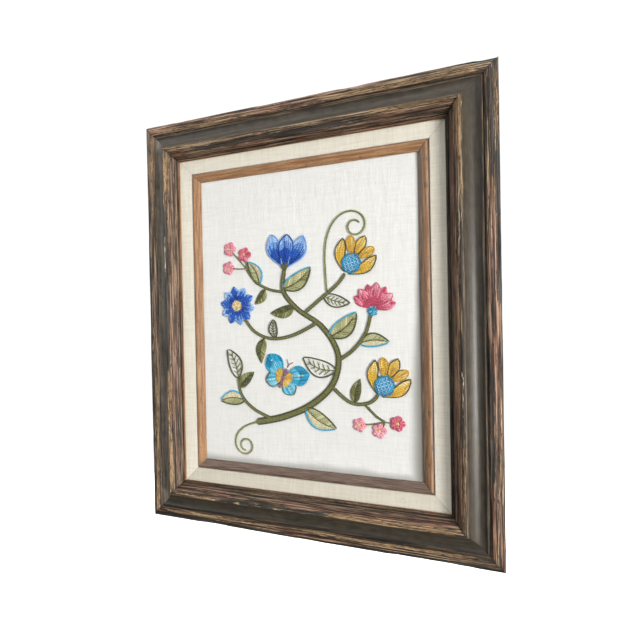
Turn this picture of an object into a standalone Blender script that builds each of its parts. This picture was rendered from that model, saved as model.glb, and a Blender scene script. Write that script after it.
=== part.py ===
"""Crewel embroidery on linen, held in a linen-covered liner, a wooden fillet and a wooden frame.

Metres, +Z up. The front faces -Y and the wall is the plane Y = 0. The origin is the middle of
the top rail's flat back, which is where the frame hangs. Names with an inset run inwards from
the frame's outer edge, and names with a height run forwards from the wall, both in millimetres.
"""
import math
from collections import namedtuple

import bmesh
import bpy
from mathutils import Vector, geometry

MM = 0.001

# Outer size of the frame, in millimetres
OUTER_WIDTH = 425.0
OUTER_HEIGHT = 502.0

# Gap between neighbours, and what it takes off each rail's end at a 45 degree mitre
GAP = 0.3
MITRE_SETBACK = GAP / 2 * math.sqrt(2)

# Edges that turn by more than this stay crisp in the shading
SHARP_ANGLE = math.radians(32)

# Frame moulding
REBATE_INSET = 44.0
SIGHT_INSET = 51.0
LIP_INSET = 12.6
GROOVE_INSET = 14.4
COVE_START_INSET = 16.6
RIDGE_OUTER_INSET = 35.4
RIDGE_INNER_INSET = 38.8
INNER_GROOVE_INSET = 47.8
SIDE_HEIGHT = 18.0
LIP_HEIGHT = 21.8
GROOVE_HEIGHT = 19.4
COVE_START_HEIGHT = 21.0
RIDGE_HEIGHT = 32.0
INNER_GROOVE_HEIGHT = 19.0
BEAD_HEIGHT = 20.0
REBATE_HEIGHT = 17.0

# Linen-covered liner, which lies in the frame's rebate
LINER_OUTER_INSET = REBATE_INSET + GAP
LINER_INNER_INSET = 67.4
LINER_REBATE_INSET = 59.9
LINER_BACK_HEIGHT = 7.5
LINER_REBATE_HEIGHT = 12.0
LINER_OUTER_HEIGHT = REBATE_HEIGHT - GAP
LINER_INNER_HEIGHT = 15.5

# Wooden fillet, which lies in the liner's rebate and presses on the linen's edge
FILLET_OUTER_INSET = LINER_REBATE_INSET + GAP
FILLET_FACE_INSET = LINER_INNER_INSET + GAP
FILLET_CROWN_INSET = 72.3
FILLET_SIGHT_INSET = 78.6
FILLET_BACK_HEIGHT = 7.8
FILLET_FLANGE_HEIGHT = LINER_REBATE_HEIGHT - GAP
FILLET_CROWN_HEIGHT = 16.9
FILLET_SIGHT_HEIGHT = 12.8

# Embroidered linen
LINEN_INSET = 73.0
LINEN_FRONT_HEIGHT = 11.6
LINEN_THICKNESS = 2.0
LINEN_GRID = 19.0
LINEN_UNEVENNESS = 0.35
LINEN_WAVE_X = 142.0
LINEN_WAVE_Z = 187.0
GRID_STAGGER = 0.5
POINT_SPACING = 1.1

# How far the stitching stands up from the linen, and the width of the slope at its rim
STEM_RELIEF = 1.3
LEAF_RELIEF = 1.2
PETAL_RELIEF = 1.4
KNOT_RELIEF = 1.6
RIM_WIDTH = 1.2
RIM_SHARE = 0.8
STEM_STEP = 4.5
LEAF_STEPS = 8
PETAL_STEPS = 6
KNOT_POINTS = 10

# How blunt a leaf's or petal's outline is: smaller is rounder
OUTLINE_POWER = 0.8

# A smooth route leaves each point along a sixth of the chord between the points beside it
CHORD_SHARE = 1 / 6

# All embroidery is placed in millimetres from the middle of the linen, x to the right and y up.
# A heading is in degrees, counter-clockwise from the right. A bend is how far the middle swings
# to the left of the straight line from base to tip.
Stem = namedtuple("Stem", "width_start width_end points")
Lobe = namedtuple("Lobe", "x y heading length width bend fullness")
Head = namedtuple("Head", "x y heading petals")
Petal = namedtuple("Petal", "x y turn length width bend")
Knot = namedtuple("Knot", "x y radius")

STEMS = (
    Stem(9.0, 5.0, ((-64, -122), (-28, -114), (8, -98), (35, -73), (42, -40),
                    (24, -9), (-6, 12), (-24, 34), (-22, 58))),
    Stem(4.4, 3.6, ((34, -76), (56, -93), (77, -92), (88, -82))),
    Stem(4.4, 3.6, ((43, -46), (60, -34), (74, -16), (80, 4))),
    Stem(4.4, 3.6, ((2, 7), (24, 24), (42, 38), (52, 50))),
    Stem(4.4, 3.6, ((18, -4), (-12, -18), (-40, -22), (-62, -14), (-76, 2))),
    Stem(3.6, 2.8, ((-22, 32), (-42, 36), (-60, 46), (-72, 62))),
    Stem(4.4, 3.2, ((-41, -117), (-66, -106), (-82, -90), (-86, -70))),
    Stem(2.8, 2.4, ((72, -94), (84, -106), (94, -112))),
)

LEAF_FULLNESS = 0.85
LEAVES = (
    Lobe(2, -102, -30, 42, 19, -4, LEAF_FULLNESS),
    Lobe(39, -58, 160, 42, 20, 5, LEAF_FULLNESS),
    Lobe(32, -20, 40, 42, 20, -4, LEAF_FULLNESS),
    Lobe(-9, 15, 192, 34, 15, 3, LEAF_FULLNESS),
    Lobe(-24, 36, 34, 42, 19, -4, LEAF_FULLNESS),
    Lobe(-55, 42, 118, 32, 15, -3, LEAF_FULLNESS),
    Lobe(-47, 37, 230, 24, 12, 2, LEAF_FULLNESS),
    Lobe(-50, -21, 262, 31, 14, -3, LEAF_FULLNESS),
    Lobe(-36, -21, 92, 22, 11, 2, LEAF_FULLNESS),
    Lobe(-78, -96, 184, 34, 17, -3, LEAF_FULLNESS),
    Lobe(-85, -82, 44, 29, 14, 2, LEAF_FULLNESS),
    Lobe(-86, -70, 112, 38, 18, -3, LEAF_FULLNESS),
    Lobe(60, -94, 76, 29, 13, 2, LEAF_FULLNESS),
    Lobe(67, -27, 2, 33, 15, 3, LEAF_FULLNESS),
    Lobe(26, 26, -16, 32, 14, -2, LEAF_FULLNESS),
)

PETAL_FULLNESS = 1.4
TULIP_PETALS = (
    Petal(-3, 1, 25, 41, 18, 3),
    Petal(3, 1, -25, 41, 18, -3),
    Petal(0, 3, 0, 36, 18, 0),
)
ASTER_PETALS = tuple(Petal(0, 0, 36 * k, 24, 11.5, 0) for k in range(10))
CARNATION_PETALS = tuple(Petal(0, 3, 22 * k, 29 - abs(k), 11.5, 0) for k in range(-3, 4))
FRUIT_PETALS = (
    Petal(-3, -12, 30, 37, 12, 4),
    Petal(3, -12, -30, 37, 12, -4),
    Petal(-4, 7, 30, 23, 10, 0),
    Petal(4, 7, -30, 23, 10, 0),
    Petal(0, 8, 0, 25, 11, 0),
)
HEADS = (
    Head(-21.5, 60, 84, TULIP_PETALS),
    Head(-86, 18, 100, ASTER_PETALS),
    Head(82, 7, 80, CARNATION_PETALS),
    Head(94, -73, 62, FRUIT_PETALS),
    Head(59, 61, 60, FRUIT_PETALS),
)

WING_PETALS = (
    Petal(0, 0, 58, 33, 23, 0),
    Petal(0, 0, -58, 33, 23, 0),
    Petal(0, 0, 122, 23, 18, 0),
    Petal(0, 0, -122, 23, 18, 0),
    Petal(0, -13, 0, 27, 6, 0),
)
BUTTERFLY = Head(-26, -68, 66, WING_PETALS)

KNOTS = (
    Knot(-75, 79, 8.6), Knot(-97, 64, 8.0), Knot(-95, 87, 8.4),
    Knot(107, -113, 8.2), Knot(87, -122, 8.0), Knot(65, -117, 7.6),
    Knot(-86, 18, 7.5), Knot(82, 8, 6.0), Knot(94, -73, 10.5), Knot(59, 61, 10.5),
)


def clear_scene():
    """Removes every object that the file holds."""
    for thing in list(bpy.data.objects):
        bpy.data.objects.remove(thing, do_unlink=True)


def make_material(name, colour, roughness):
    """One Principled material with a linear colour."""
    material = bpy.data.materials.new(name)
    material.use_nodes = True
    shader = material.node_tree.nodes["Principled BSDF"]
    shader.inputs["Base Color"].default_value = (*colour, 1.0)
    shader.inputs["Roughness"].default_value = roughness
    shader.inputs["Metallic"].default_value = 0.0
    material.diffuse_color = (*colour, 1.0)
    return material


def curve_points(start, pull_start, pull_end, end, steps):
    """Points along a cubic curve, both ends included."""
    points = []
    for step in range(steps + 1):
        t = step / steps
        s = 1 - t
        weights = (s ** 3, 3 * s * s * t, 3 * s * t * t, t ** 3)
        corners = (start, pull_start, pull_end, end)
        points.append(tuple(sum(w * c[axis] for w, c in zip(weights, corners)) for axis in (0, 1)))
    return points


def frame_profile():
    """Closed section of the frame moulding: rough lip, groove, cove, ridge, inner face and bead."""
    lip = curve_points((0, SIDE_HEIGHT), (2, LIP_HEIGHT - 1), (8, LIP_HEIGHT + 0.4),
                       (LIP_INSET, LIP_HEIGHT - 0.2), 5)
    cove = curve_points((COVE_START_INSET, COVE_START_HEIGHT), (24, 15.5), (32, 25),
                        (RIDGE_OUTER_INSET, RIDGE_HEIGHT - 0.8), 9)
    ridge = curve_points((RIDGE_OUTER_INSET + 0.7, RIDGE_HEIGHT),
                         (RIDGE_OUTER_INSET + 1.6, RIDGE_HEIGHT + 0.3),
                         (RIDGE_INNER_INSET - 0.8, RIDGE_HEIGHT),
                         (RIDGE_INNER_INSET, RIDGE_HEIGHT - 1.2), 3)
    inner = curve_points((RIDGE_INNER_INSET, RIDGE_HEIGHT - 1.2), (42, 28.6), (45.6, 24.4),
                         (INNER_GROOVE_INSET - 0.6, INNER_GROOVE_HEIGHT + 1.4), 3)
    bead = curve_points((INNER_GROOVE_INSET + 0.6, BEAD_HEIGHT - 0.8), (49.2, BEAD_HEIGHT + 0.3),
                        (SIGHT_INSET, BEAD_HEIGHT + 0.3), (SIGHT_INSET, BEAD_HEIGHT - 1.4), 4)
    back = [(SIGHT_INSET, REBATE_HEIGHT), (REBATE_INSET, REBATE_HEIGHT), (REBATE_INSET, 0), (0, 0)]
    groove = [(GROOVE_INSET, GROOVE_HEIGHT)]
    inner_groove = [(INNER_GROOVE_INSET, INNER_GROOVE_HEIGHT)]
    return lip + groove + cove + ridge + inner[1:] + inner_groove + bead + back


def liner_profile():
    """Closed section of the liner: a face that falls towards the linen, with a rebate behind."""
    edge = curve_points((LINER_INNER_INSET - 1.4, LINER_INNER_HEIGHT + 0.1),
                        (LINER_INNER_INSET - 0.4, LINER_INNER_HEIGHT),
                        (LINER_INNER_INSET, LINER_INNER_HEIGHT - 0.4),
                        (LINER_INNER_INSET, LINER_INNER_HEIGHT - 1.2), 4)
    return [
        (LINER_OUTER_INSET, LINER_BACK_HEIGHT),
        (LINER_OUTER_INSET, LINER_OUTER_HEIGHT),
        (SIGHT_INSET, LINER_OUTER_HEIGHT),
        *edge,
        (LINER_INNER_INSET, LINER_REBATE_HEIGHT),
        (LINER_REBATE_INSET, LINER_REBATE_HEIGHT),
        (LINER_REBATE_INSET, LINER_BACK_HEIGHT),
    ]


def fillet_profile():
    """Closed section of the fillet: a round crown, a slope down to the linen and a flange behind."""
    crown = curve_points((FILLET_FACE_INSET, LINER_INNER_HEIGHT - 0.4),
                         (FILLET_FACE_INSET, FILLET_CROWN_HEIGHT),
                         (FILLET_CROWN_INSET - 1.4, FILLET_CROWN_HEIGHT + 0.6),
                         (FILLET_CROWN_INSET, FILLET_CROWN_HEIGHT - 0.7), 5)
    slope = curve_points((FILLET_CROWN_INSET, FILLET_CROWN_HEIGHT - 0.7), (74, 15.2), (77, 13.9),
                         (FILLET_SIGHT_INSET, FILLET_SIGHT_HEIGHT), 3)
    seat_height = LINEN_FRONT_HEIGHT + GAP
    return [
        (FILLET_OUTER_INSET, FILLET_BACK_HEIGHT),
        (FILLET_OUTER_INSET, FILLET_FLANGE_HEIGHT),
        (FILLET_FACE_INSET, FILLET_FLANGE_HEIGHT),
        *crown,
        *slope[1:],
        (FILLET_SIGHT_INSET, seat_height),
        (LINEN_INSET - GAP, seat_height),
        (LINEN_INSET - GAP, FILLET_BACK_HEIGHT),
    ]


def mitred_rail_mesh(name, profile, outer_length):
    """A straight rail along X with 45 degree ends; its outer edge lies at Z = 0 and it grows up Z."""
    half_length = outer_length / 2 - MITRE_SETBACK
    bm = bmesh.new()
    rings = []
    for side in (-1, 1):
        ring = [bm.verts.new(Vector((side * (half_length - inset), -height, inset)) * MM)
                for inset, height in profile]
        rings.append(ring)
    count = len(profile)
    for i in range(count):
        j = (i + 1) % count
        bm.faces.new((rings[0][i], rings[0][j], rings[1][j], rings[1][i]))
    for ring in rings:
        bm.faces.new(ring)
    bmesh.ops.triangulate(bm, faces=bm.faces[:])
    bmesh.ops.recalc_face_normals(bm, faces=bm.faces[:])
    mesh = bpy.data.meshes.new(name)
    bm.to_mesh(mesh)
    bm.free()
    return mesh


def build_rails(prefix, profile, material, parent):
    """Four mitred rails of one moulding: bottom and top share a mesh, left and right another."""
    long_mesh = mitred_rail_mesh(prefix + "_upright", profile, OUTER_HEIGHT)
    short_mesh = mitred_rail_mesh(prefix + "_crosspiece", profile, OUTER_WIDTH)
    for mesh in (long_mesh, short_mesh):
        mesh.materials.append(material)
        mesh.shade_smooth()
        mesh.set_sharp_from_angle(angle=SHARP_ANGLE)
    half_width = OUTER_WIDTH / 2 * MM
    half_height = OUTER_HEIGHT / 2 * MM
    placements = (
        ("bottom", short_mesh, (0, 0, -half_height), 0),
        ("right", long_mesh, (half_width, 0, 0), -90),
        ("top", short_mesh, (0, 0, half_height), 180),
        ("left", long_mesh, (-half_width, 0, 0), 90),
    )
    for side, mesh, location, turn in placements:
        rail = bpy.data.objects.new(prefix + "_" + side, mesh)
        bpy.context.collection.objects.link(rail)
        rail.location = location
        rail.rotation_euler = (0, math.radians(turn), 0)
        rail.parent = parent


def smooth_route(points, step):
    """Points about a step apart on a smooth curve through the given ones."""
    padded = [points[0], *points, points[-1]]
    route = []
    for i in range(len(points) - 1):
        before, start, end, after = padded[i:i + 4]
        count = max(2, round(math.dist(start, end) / step))
        pulls = [tuple(p[k] + sign * (b[k] - a[k]) * CHORD_SHARE for k in (0, 1))
                 for p, a, b, sign in ((start, before, end, 1), (end, start, after, -1))]
        route += curve_points(start, pulls[0], pulls[1], end, count)[:-1]
    route.append(points[-1])
    return route


def cushion_height(relief, ratio, half):
    """Height at a share of the half width: steep at the rim and softly domed inside it."""
    if ratio >= 1:
        return 0.0
    slope = min(1.0, (1 - ratio) * half / RIM_WIDTH)
    return relief * slope * (RIM_SHARE + (1 - RIM_SHARE) * (1 - ratio))


def stem_section(stem):
    """The stem's route with its half width at each point."""
    route = smooth_route(stem.points, STEM_STEP)
    last = len(route) - 1
    return [(x, y, (stem.width_start + (stem.width_end - stem.width_start) * i / last) / 2)
            for i, (x, y) in enumerate(route)]


def stem_samples(section):
    """Points on the stem's crest and on both of its edges."""
    samples = []
    last = len(section) - 1
    for i, (x, y, half) in enumerate(section):
        ahead = section[min(last, i + 1)]
        behind = section[max(0, i - 1)]
        run = math.dist(ahead[:2], behind[:2])
        across = ((behind[1] - ahead[1]) / run, (ahead[0] - behind[0]) / run)
        samples += [(x + side * half * across[0], y + side * half * across[1]) for side in (-1, 0, 1)]
    return samples


def stem_height(section, x, y):
    """Height of a stem's rounded back at a point, or zero beside it."""
    best = 0.0
    for (ax, ay, half), (bx, by, _) in zip(section, section[1:]):
        run_x, run_y = bx - ax, by - ay
        t = ((x - ax) * run_x + (y - ay) * run_y) / (run_x ** 2 + run_y ** 2)
        t = min(1.0, max(0.0, t))
        ratio = math.dist((x, y), (ax + t * run_x, ay + t * run_y)) / half
        best = max(best, cushion_height(STEM_RELIEF, ratio, half))
    return best


def lobe_half_width(lobe, t):
    """Half width of a leaf or petal at a share of its length; fullness moves its widest place."""
    wave = max(0.0, math.sin(math.pi * t ** lobe.fullness))
    return lobe.width / 2 * wave ** OUTLINE_POWER


def lobe_samples(lobe, steps):
    """Points on the lobe's midrib, its flanks and its edges."""
    turn = math.radians(lobe.heading)
    samples = []
    for step in range(steps + 1):
        t = step / steps
        half = lobe_half_width(lobe, t)
        inner = max(0.0, 1 - RIM_WIDTH / max(half, RIM_WIDTH))
        for line in (-1.0, -inner, 0.0, inner, 1.0):
            along = t * lobe.length
            across = lobe.bend * math.sin(math.pi * t) + line * half
            samples.append((lobe.x + along * math.cos(turn) - across * math.sin(turn),
                            lobe.y + along * math.sin(turn) + across * math.cos(turn)))
    return samples


def lobe_height(lobe, relief, x, y):
    """Height of a leaf's or petal's cushion of stitches at a point, or zero beside it."""
    turn = math.radians(lobe.heading)
    along = (x - lobe.x) * math.cos(turn) + (y - lobe.y) * math.sin(turn)
    across = (y - lobe.y) * math.cos(turn) - (x - lobe.x) * math.sin(turn)
    t = along / lobe.length
    if t <= 0 or t >= 1:
        return 0.0
    half = lobe_half_width(lobe, t)
    if half == 0:
        return 0.0
    return cushion_height(relief, abs(across - lobe.bend * math.sin(math.pi * t)) / half, half)


def head_lobes(head):
    """The petals of a flower head, placed on the linen."""
    turn = math.radians(head.heading - 90)
    lobes = []
    for petal in head.petals:
        x = head.x + petal.x * math.cos(turn) - petal.y * math.sin(turn)
        y = head.y + petal.x * math.sin(turn) + petal.y * math.cos(turn)
        heading = head.heading + petal.turn
        lobes.append(Lobe(x, y, heading, petal.length, petal.width, petal.bend, PETAL_FULLNESS))
    return lobes


def knot_samples(knot, count):
    """The middle of a round patch of knots and points on its edge and just inside it."""
    samples = [(knot.x, knot.y)]
    for radius in (knot.radius, knot.radius - RIM_WIDTH):
        samples += [(knot.x + radius * math.cos(math.tau * k / count),
                     knot.y + radius * math.sin(math.tau * k / count)) for k in range(count)]
    return samples


def knot_height(knot, x, y):
    """Height of a round patch of knots at a point, or zero beside it."""
    return cushion_height(KNOT_RELIEF, math.dist((x, y), (knot.x, knot.y)) / knot.radius, knot.radius)


def cloth_wave(x, y, half_width, half_height):
    """The stretched linen's slight unevenness, which dies out at the fillet that holds it."""
    hold = max(0.0, 1 - (x / half_width) ** 4) * max(0.0, 1 - (y / half_height) ** 4)
    wave = math.sin(math.tau * x / LINEN_WAVE_X + 0.8) * math.cos(math.tau * y / LINEN_WAVE_Z - 0.5)
    return LINEN_UNEVENNESS * hold * wave


def keep_apart(candidates, spacing):
    """Drops each point that lies closer than the spacing to one already kept."""
    kept = []
    cells = {}
    for x, y in candidates:
        cell = (math.floor(x / spacing), math.floor(y / spacing))
        around = [(cell[0] + i, cell[1] + j) for i in (-1, 0, 1) for j in (-1, 0, 1)]
        near = [p for key in around for p in cells.get(key, ())]
        if all(math.dist((x, y), p) >= spacing for p in near):
            kept.append((x, y))
            cells.setdefault(cell, []).append((x, y))
    return kept


def border_points(half_width, half_height):
    """Evenly spaced points round the linen's edge, corners included."""
    across = round(2 * half_width / LINEN_GRID)
    up = round(2 * half_height / LINEN_GRID)
    points = []
    for i in range(across):
        share = 2 * i / across - 1
        points += [(share * half_width, -half_height), (-share * half_width, half_height)]
    for j in range(up):
        share = 2 * j / up - 1
        points += [(half_width, share * half_height), (-half_width, -share * half_height)]
    return points


def field_points(half_width, half_height):
    """A coarse staggered grid inside the linen's edge."""
    columns = round(2 * half_width / LINEN_GRID)
    rows = round(2 * half_height / LINEN_GRID)
    points = []
    for j in range(1, rows):
        shift = GRID_STAGGER * (j % 2)
        for i in range(1, columns - j % 2):
            points.append((((i + shift) * 2 / columns - 1) * half_width, (j * 2 / rows - 1) * half_height))
    return points


def stitched_points_and_height():
    """Every sample point of the embroidery, and a function that gives its height anywhere."""
    sections = [stem_section(stem) for stem in STEMS]
    petals = [lobe for head in (*HEADS, BUTTERFLY) for lobe in head_lobes(head)]
    samples = []
    for section in sections:
        samples += stem_samples(section)
    for leaf in LEAVES:
        samples += lobe_samples(leaf, LEAF_STEPS)
    for petal in petals:
        samples += lobe_samples(petal, PETAL_STEPS)
    for knot in KNOTS:
        samples += knot_samples(knot, KNOT_POINTS)

    def height(x, y):
        heights = [stem_height(section, x, y) for section in sections]
        heights += [lobe_height(leaf, LEAF_RELIEF, x, y) for leaf in LEAVES]
        heights += [lobe_height(petal, PETAL_RELIEF, x, y) for petal in petals]
        heights += [knot_height(knot, x, y) for knot in KNOTS]
        return max(heights)

    return samples, height


def build_linen(material, parent):
    """The linen sheet, with its embroidery raised in the points of its front face."""
    half_width = OUTER_WIDTH / 2 - LINEN_INSET
    half_height = OUTER_HEIGHT / 2 - LINEN_INSET
    border = border_points(half_width, half_height)
    samples, stitch_height = stitched_points_and_height()
    inner = keep_apart(samples, POINT_SPACING)
    inner = inner + [p for p in field_points(half_width, half_height)
                     if all(math.dist(p, q) > LINEN_GRID / 4 for q in inner)]
    flat = [Vector(p) for p in border + inner]
    points, _, triangles, *_ = geometry.delaunay_2d_cdt(flat, [], [], 0, 0.001)
    bm = bmesh.new()
    front = []
    for x, y in points:
        rise = stitch_height(x, y) + cloth_wave(x, y, half_width, half_height)
        front.append(bm.verts.new(Vector((x, -LINEN_FRONT_HEIGHT - rise, y)) * MM))
    for triangle in triangles:
        bm.faces.new([front[i] for i in triangle])
    edge_loop = [edge for edge in bm.edges if edge.is_boundary]
    extruded = bmesh.ops.extrude_edge_only(bm, edges=edge_loop)["geom"]
    back = [item for item in extruded if isinstance(item, bmesh.types.BMVert)]
    for vert in back:
        vert.co.y = -(LINEN_FRONT_HEIGHT - LINEN_THICKNESS) * MM
    rim = [item for item in extruded if isinstance(item, bmesh.types.BMEdge) and item.is_boundary]
    bmesh.ops.contextual_create(bm, geom=rim)
    bmesh.ops.triangulate(bm, faces=bm.faces[:])
    bmesh.ops.recalc_face_normals(bm, faces=bm.faces[:])
    mesh = bpy.data.meshes.new("linen_panel")
    bm.to_mesh(mesh)
    bm.free()
    mesh.materials.append(material)
    mesh.shade_smooth()
    mesh.set_sharp_from_angle(angle=SHARP_ANGLE)
    panel = bpy.data.objects.new("linen_panel", mesh)
    bpy.context.collection.objects.link(panel)
    panel.parent = parent


def main():
    clear_scene()
    middle = bpy.data.objects.new("panel_middle", None)
    bpy.context.collection.objects.link(middle)
    middle.location = (0, 0, (REBATE_INSET / 2 - OUTER_HEIGHT / 2) * MM)
    barn_wood = make_material("barn_wood", (0.085, 0.072, 0.055), 0.55)
    liner_linen = make_material("liner_linen", (0.73, 0.70, 0.60), 0.9)
    fillet_wood = make_material("fillet_wood", (0.42, 0.23, 0.13), 0.5)
    panel_linen = make_material("panel_linen", (0.85, 0.85, 0.82), 0.92)
    build_rails("frame", frame_profile(), barn_wood, middle)
    build_rails("liner", liner_profile(), liner_linen, middle)
    build_rails("fillet", fillet_profile(), fillet_wood, middle)
    build_linen(panel_linen, middle)


main()
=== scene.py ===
"""Looks of the crewel embroidery panel: weathered frame, linen liner, fillet, linen and wool yarn.

Sizes in millimetres, in names and tables, become metres where a mesh is made. An inset runs
inwards from the frame's outer edge and a height runs forwards from the wall. Embroidery is
placed from the middle of the linen, x to the right and y up, with its rise above the linen.
"""

import math
from collections import namedtuple

import bpy
import numpy as np
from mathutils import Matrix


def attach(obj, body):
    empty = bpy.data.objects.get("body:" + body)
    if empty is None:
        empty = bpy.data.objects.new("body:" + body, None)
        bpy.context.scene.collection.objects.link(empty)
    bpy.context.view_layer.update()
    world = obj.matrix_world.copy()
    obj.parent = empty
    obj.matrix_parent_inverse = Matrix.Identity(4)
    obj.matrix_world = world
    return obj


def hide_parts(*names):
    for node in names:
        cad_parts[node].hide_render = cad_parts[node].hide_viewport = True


MM = 0.001
BODY = "root"
NOISE_CELLS = 256
rng = np.random.default_rng(71)

# Frame, liner, fillet and linen, with the same values as in the solids, but closer mitres
OUTER_WIDTH = 425.0
OUTER_HEIGHT = 502.0
HANGING_INSET = 22.0
GAP = 0.3
MITRE_SETBACK = 0.07
REBATE_INSET = 44.0
SIGHT_INSET = 51.0
LIP_INSET = 12.6
GROOVE_INSET = 14.4
COVE_START_INSET = 16.6
RIDGE_OUTER_INSET = 35.4
RIDGE_INNER_INSET = 38.8
INNER_GROOVE_INSET = 47.8
SIDE_HEIGHT = 18.0
LIP_HEIGHT = 21.8
GROOVE_HEIGHT = 19.4
COVE_START_HEIGHT = 21.0
RIDGE_HEIGHT = 32.0
INNER_GROOVE_HEIGHT = 19.0
BEAD_HEIGHT = 20.0
REBATE_HEIGHT = 17.0
LINER_OUTER_INSET = REBATE_INSET + GAP
LINER_INNER_INSET = 67.4
LINER_REBATE_INSET = 59.9
LINER_BACK_HEIGHT = 7.5
LINER_REBATE_HEIGHT = 12.0
LINER_OUTER_HEIGHT = REBATE_HEIGHT - GAP
LINER_INNER_HEIGHT = 15.5
FILLET_OUTER_INSET = LINER_REBATE_INSET + GAP
FILLET_FACE_INSET = LINER_INNER_INSET + GAP
FILLET_CROWN_INSET = 72.3
FILLET_SIGHT_INSET = 78.6
FILLET_BACK_HEIGHT = 7.8
FILLET_FLANGE_HEIGHT = LINER_REBATE_HEIGHT - GAP
FILLET_CROWN_HEIGHT = 16.9
FILLET_SIGHT_HEIGHT = 12.8
LINEN_INSET = 73.0
LINEN_FRONT_HEIGHT = 11.6
LINEN_UNEVENNESS = 0.35
LINEN_WAVE_X = 142.0
LINEN_WAVE_Z = 187.0
HALF_WIDTH = OUTER_WIDTH / 2
HALF_HEIGHT = OUTER_HEIGHT / 2
CENTRE_Z = HANGING_INSET - HALF_HEIGHT
CLOTH_HALF_WIDTH = HALF_WIDTH - LINEN_INSET
CLOTH_HALF_HEIGHT = HALF_HEIGHT - LINEN_INSET

# Fineness of the rails: spacing across the moulding, on its hidden faces and along it
FINE_STEP = 0.9
PLAIN_STEP = 6.0
ALONG_STEP = 2.0
SHARP_ANGLE = math.radians(50)

# How far apart the rails lie on the texture, so that no two have the same grain
GRAIN_SPACING = 1000

# The sheet of linen, and the thicker places of its threads
CLOTH_STEP = 2.6
CLOTH_THICKNESS = 0.8
SLUB_LENGTH = 24
SLUB_DEPTH = 50

# Yarn: a stitch dips at both ends over a short run, from its shoulders to below the linen. Stitches
# end a little inside the edge of a petal or leaf.
YARN_RADIUS = 0.55
YARN_PITCH = 0.92
YARN_SIDES = 6
YARN_TONE_SPREAD = 0.1
LINE_RADIUS = 0.66
END_RUN = 0.8
END_SHARE = 0.24
END_SINK = 0.45
END_TAPER = 0.72
SHOULDER_SHARE = 0.8
STEM_CROWN = 0.22
STEM_SLANT = 0.42
STEM_ROW_PITCH = 0.95
BAR_PITCH = 1.5
PLY_TURN = 2.6
PETAL_EDGE = 0.35
LEAF_EDGE = 0.3
LINE_EDGE = 0.2
KNOT_TURNS = 1.55
KNOT_SPACING = 1.75
KNOT_RIM = 0.7
TRELLIS_STEP = 3.8
GOLDEN_SHARE = 3 - math.sqrt(5)

# The photograph's camera, in metres and degrees, and its focal length in pixels of its width
PHOTO_WIDTH = 640
FOCAL_PIXELS = 450
SENSOR_WIDTH = 36
CAMERA_PLACE = (0.20066, -0.48829, -0.22587)
CAMERA_TURN = (89.54, 1.11, 20.651)
FLOOR_RADIUS = 3.5
FLOOR_CORNERS = 64
FLOOR_Z = -1.5

Stem = namedtuple("Stem", "width_start width_end points")
Lobe = namedtuple("Lobe", "x y heading length width bend fullness")
Head = namedtuple("Head", "x y heading petals")
Petal = namedtuple("Petal", "x y turn length width bend")
Tendril = namedtuple("Tendril", "x y heading length turn tightening")
Age = namedtuple("Age", "rust fade lip_tone start_tone end_tone flame lip_hollow inner_hollow "
                        "wear bead_stain fillet_stain")

STEMS = (
    Stem(9.0, 5.0, ((-64, -122), (-28, -114), (8, -98), (35, -73), (42, -40),
                    (24, -9), (-6, 12), (-24, 34), (-22, 58))),
    Stem(4.4, 3.6, ((34, -76), (56, -93), (77, -92), (88, -82))),
    Stem(4.4, 3.6, ((43, -46), (60, -34), (74, -16), (80, 4))),
    Stem(4.4, 3.6, ((2, 7), (24, 24), (42, 38), (52, 50))),
    Stem(4.4, 3.6, ((18, -4), (-12, -18), (-40, -22), (-62, -14), (-76, 2))),
    Stem(3.6, 2.8, ((-22, 32), (-42, 36), (-60, 46), (-72, 62))),
    Stem(4.4, 3.2, ((-41, -117), (-66, -106), (-82, -90), (-86, -70))),
    Stem(2.8, 2.4, ((72, -94), (84, -106), (94, -112))),
)
BERRY_STEM_LEFT, BERRY_STEM_RIGHT = STEMS[5], STEMS[7]

# Each leaf's style, and its lobe's x, y, heading, length, width and bend
LEAF_FULLNESS = 0.85
LEAVES = tuple((style, Lobe(*numbers, LEAF_FULLNESS)) for style, *numbers in (
    ("half", 2, -102, -30, 42, 19, -4), ("veined", 39, -58, 160, 42, 20, 5),
    ("edged", 32, -20, 40, 42, 20, -4), ("fishbone", -9, 15, 192, 34, 15, 3),
    ("edged", -24, 36, 34, 42, 19, -4), ("half", -55, 42, 118, 32, 15, -3),
    ("fishbone", -47, 37, 230, 24, 12, 2), ("fishbone", -50, -21, 262, 31, 14, -3),
    ("veined", -36, -21, 92, 22, 11, 2), ("half", -78, -96, 184, 34, 17, -3),
    ("fishbone", -85, -82, 44, 29, 14, 2), ("veined", -86, -70, 112, 38, 18, -3),
    ("fishbone", 60, -94, 76, 29, 13, 2), ("half", 67, -27, 2, 33, 15, 3),
    ("veined", 26, 26, -16, 32, 14, -2),
))

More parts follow.
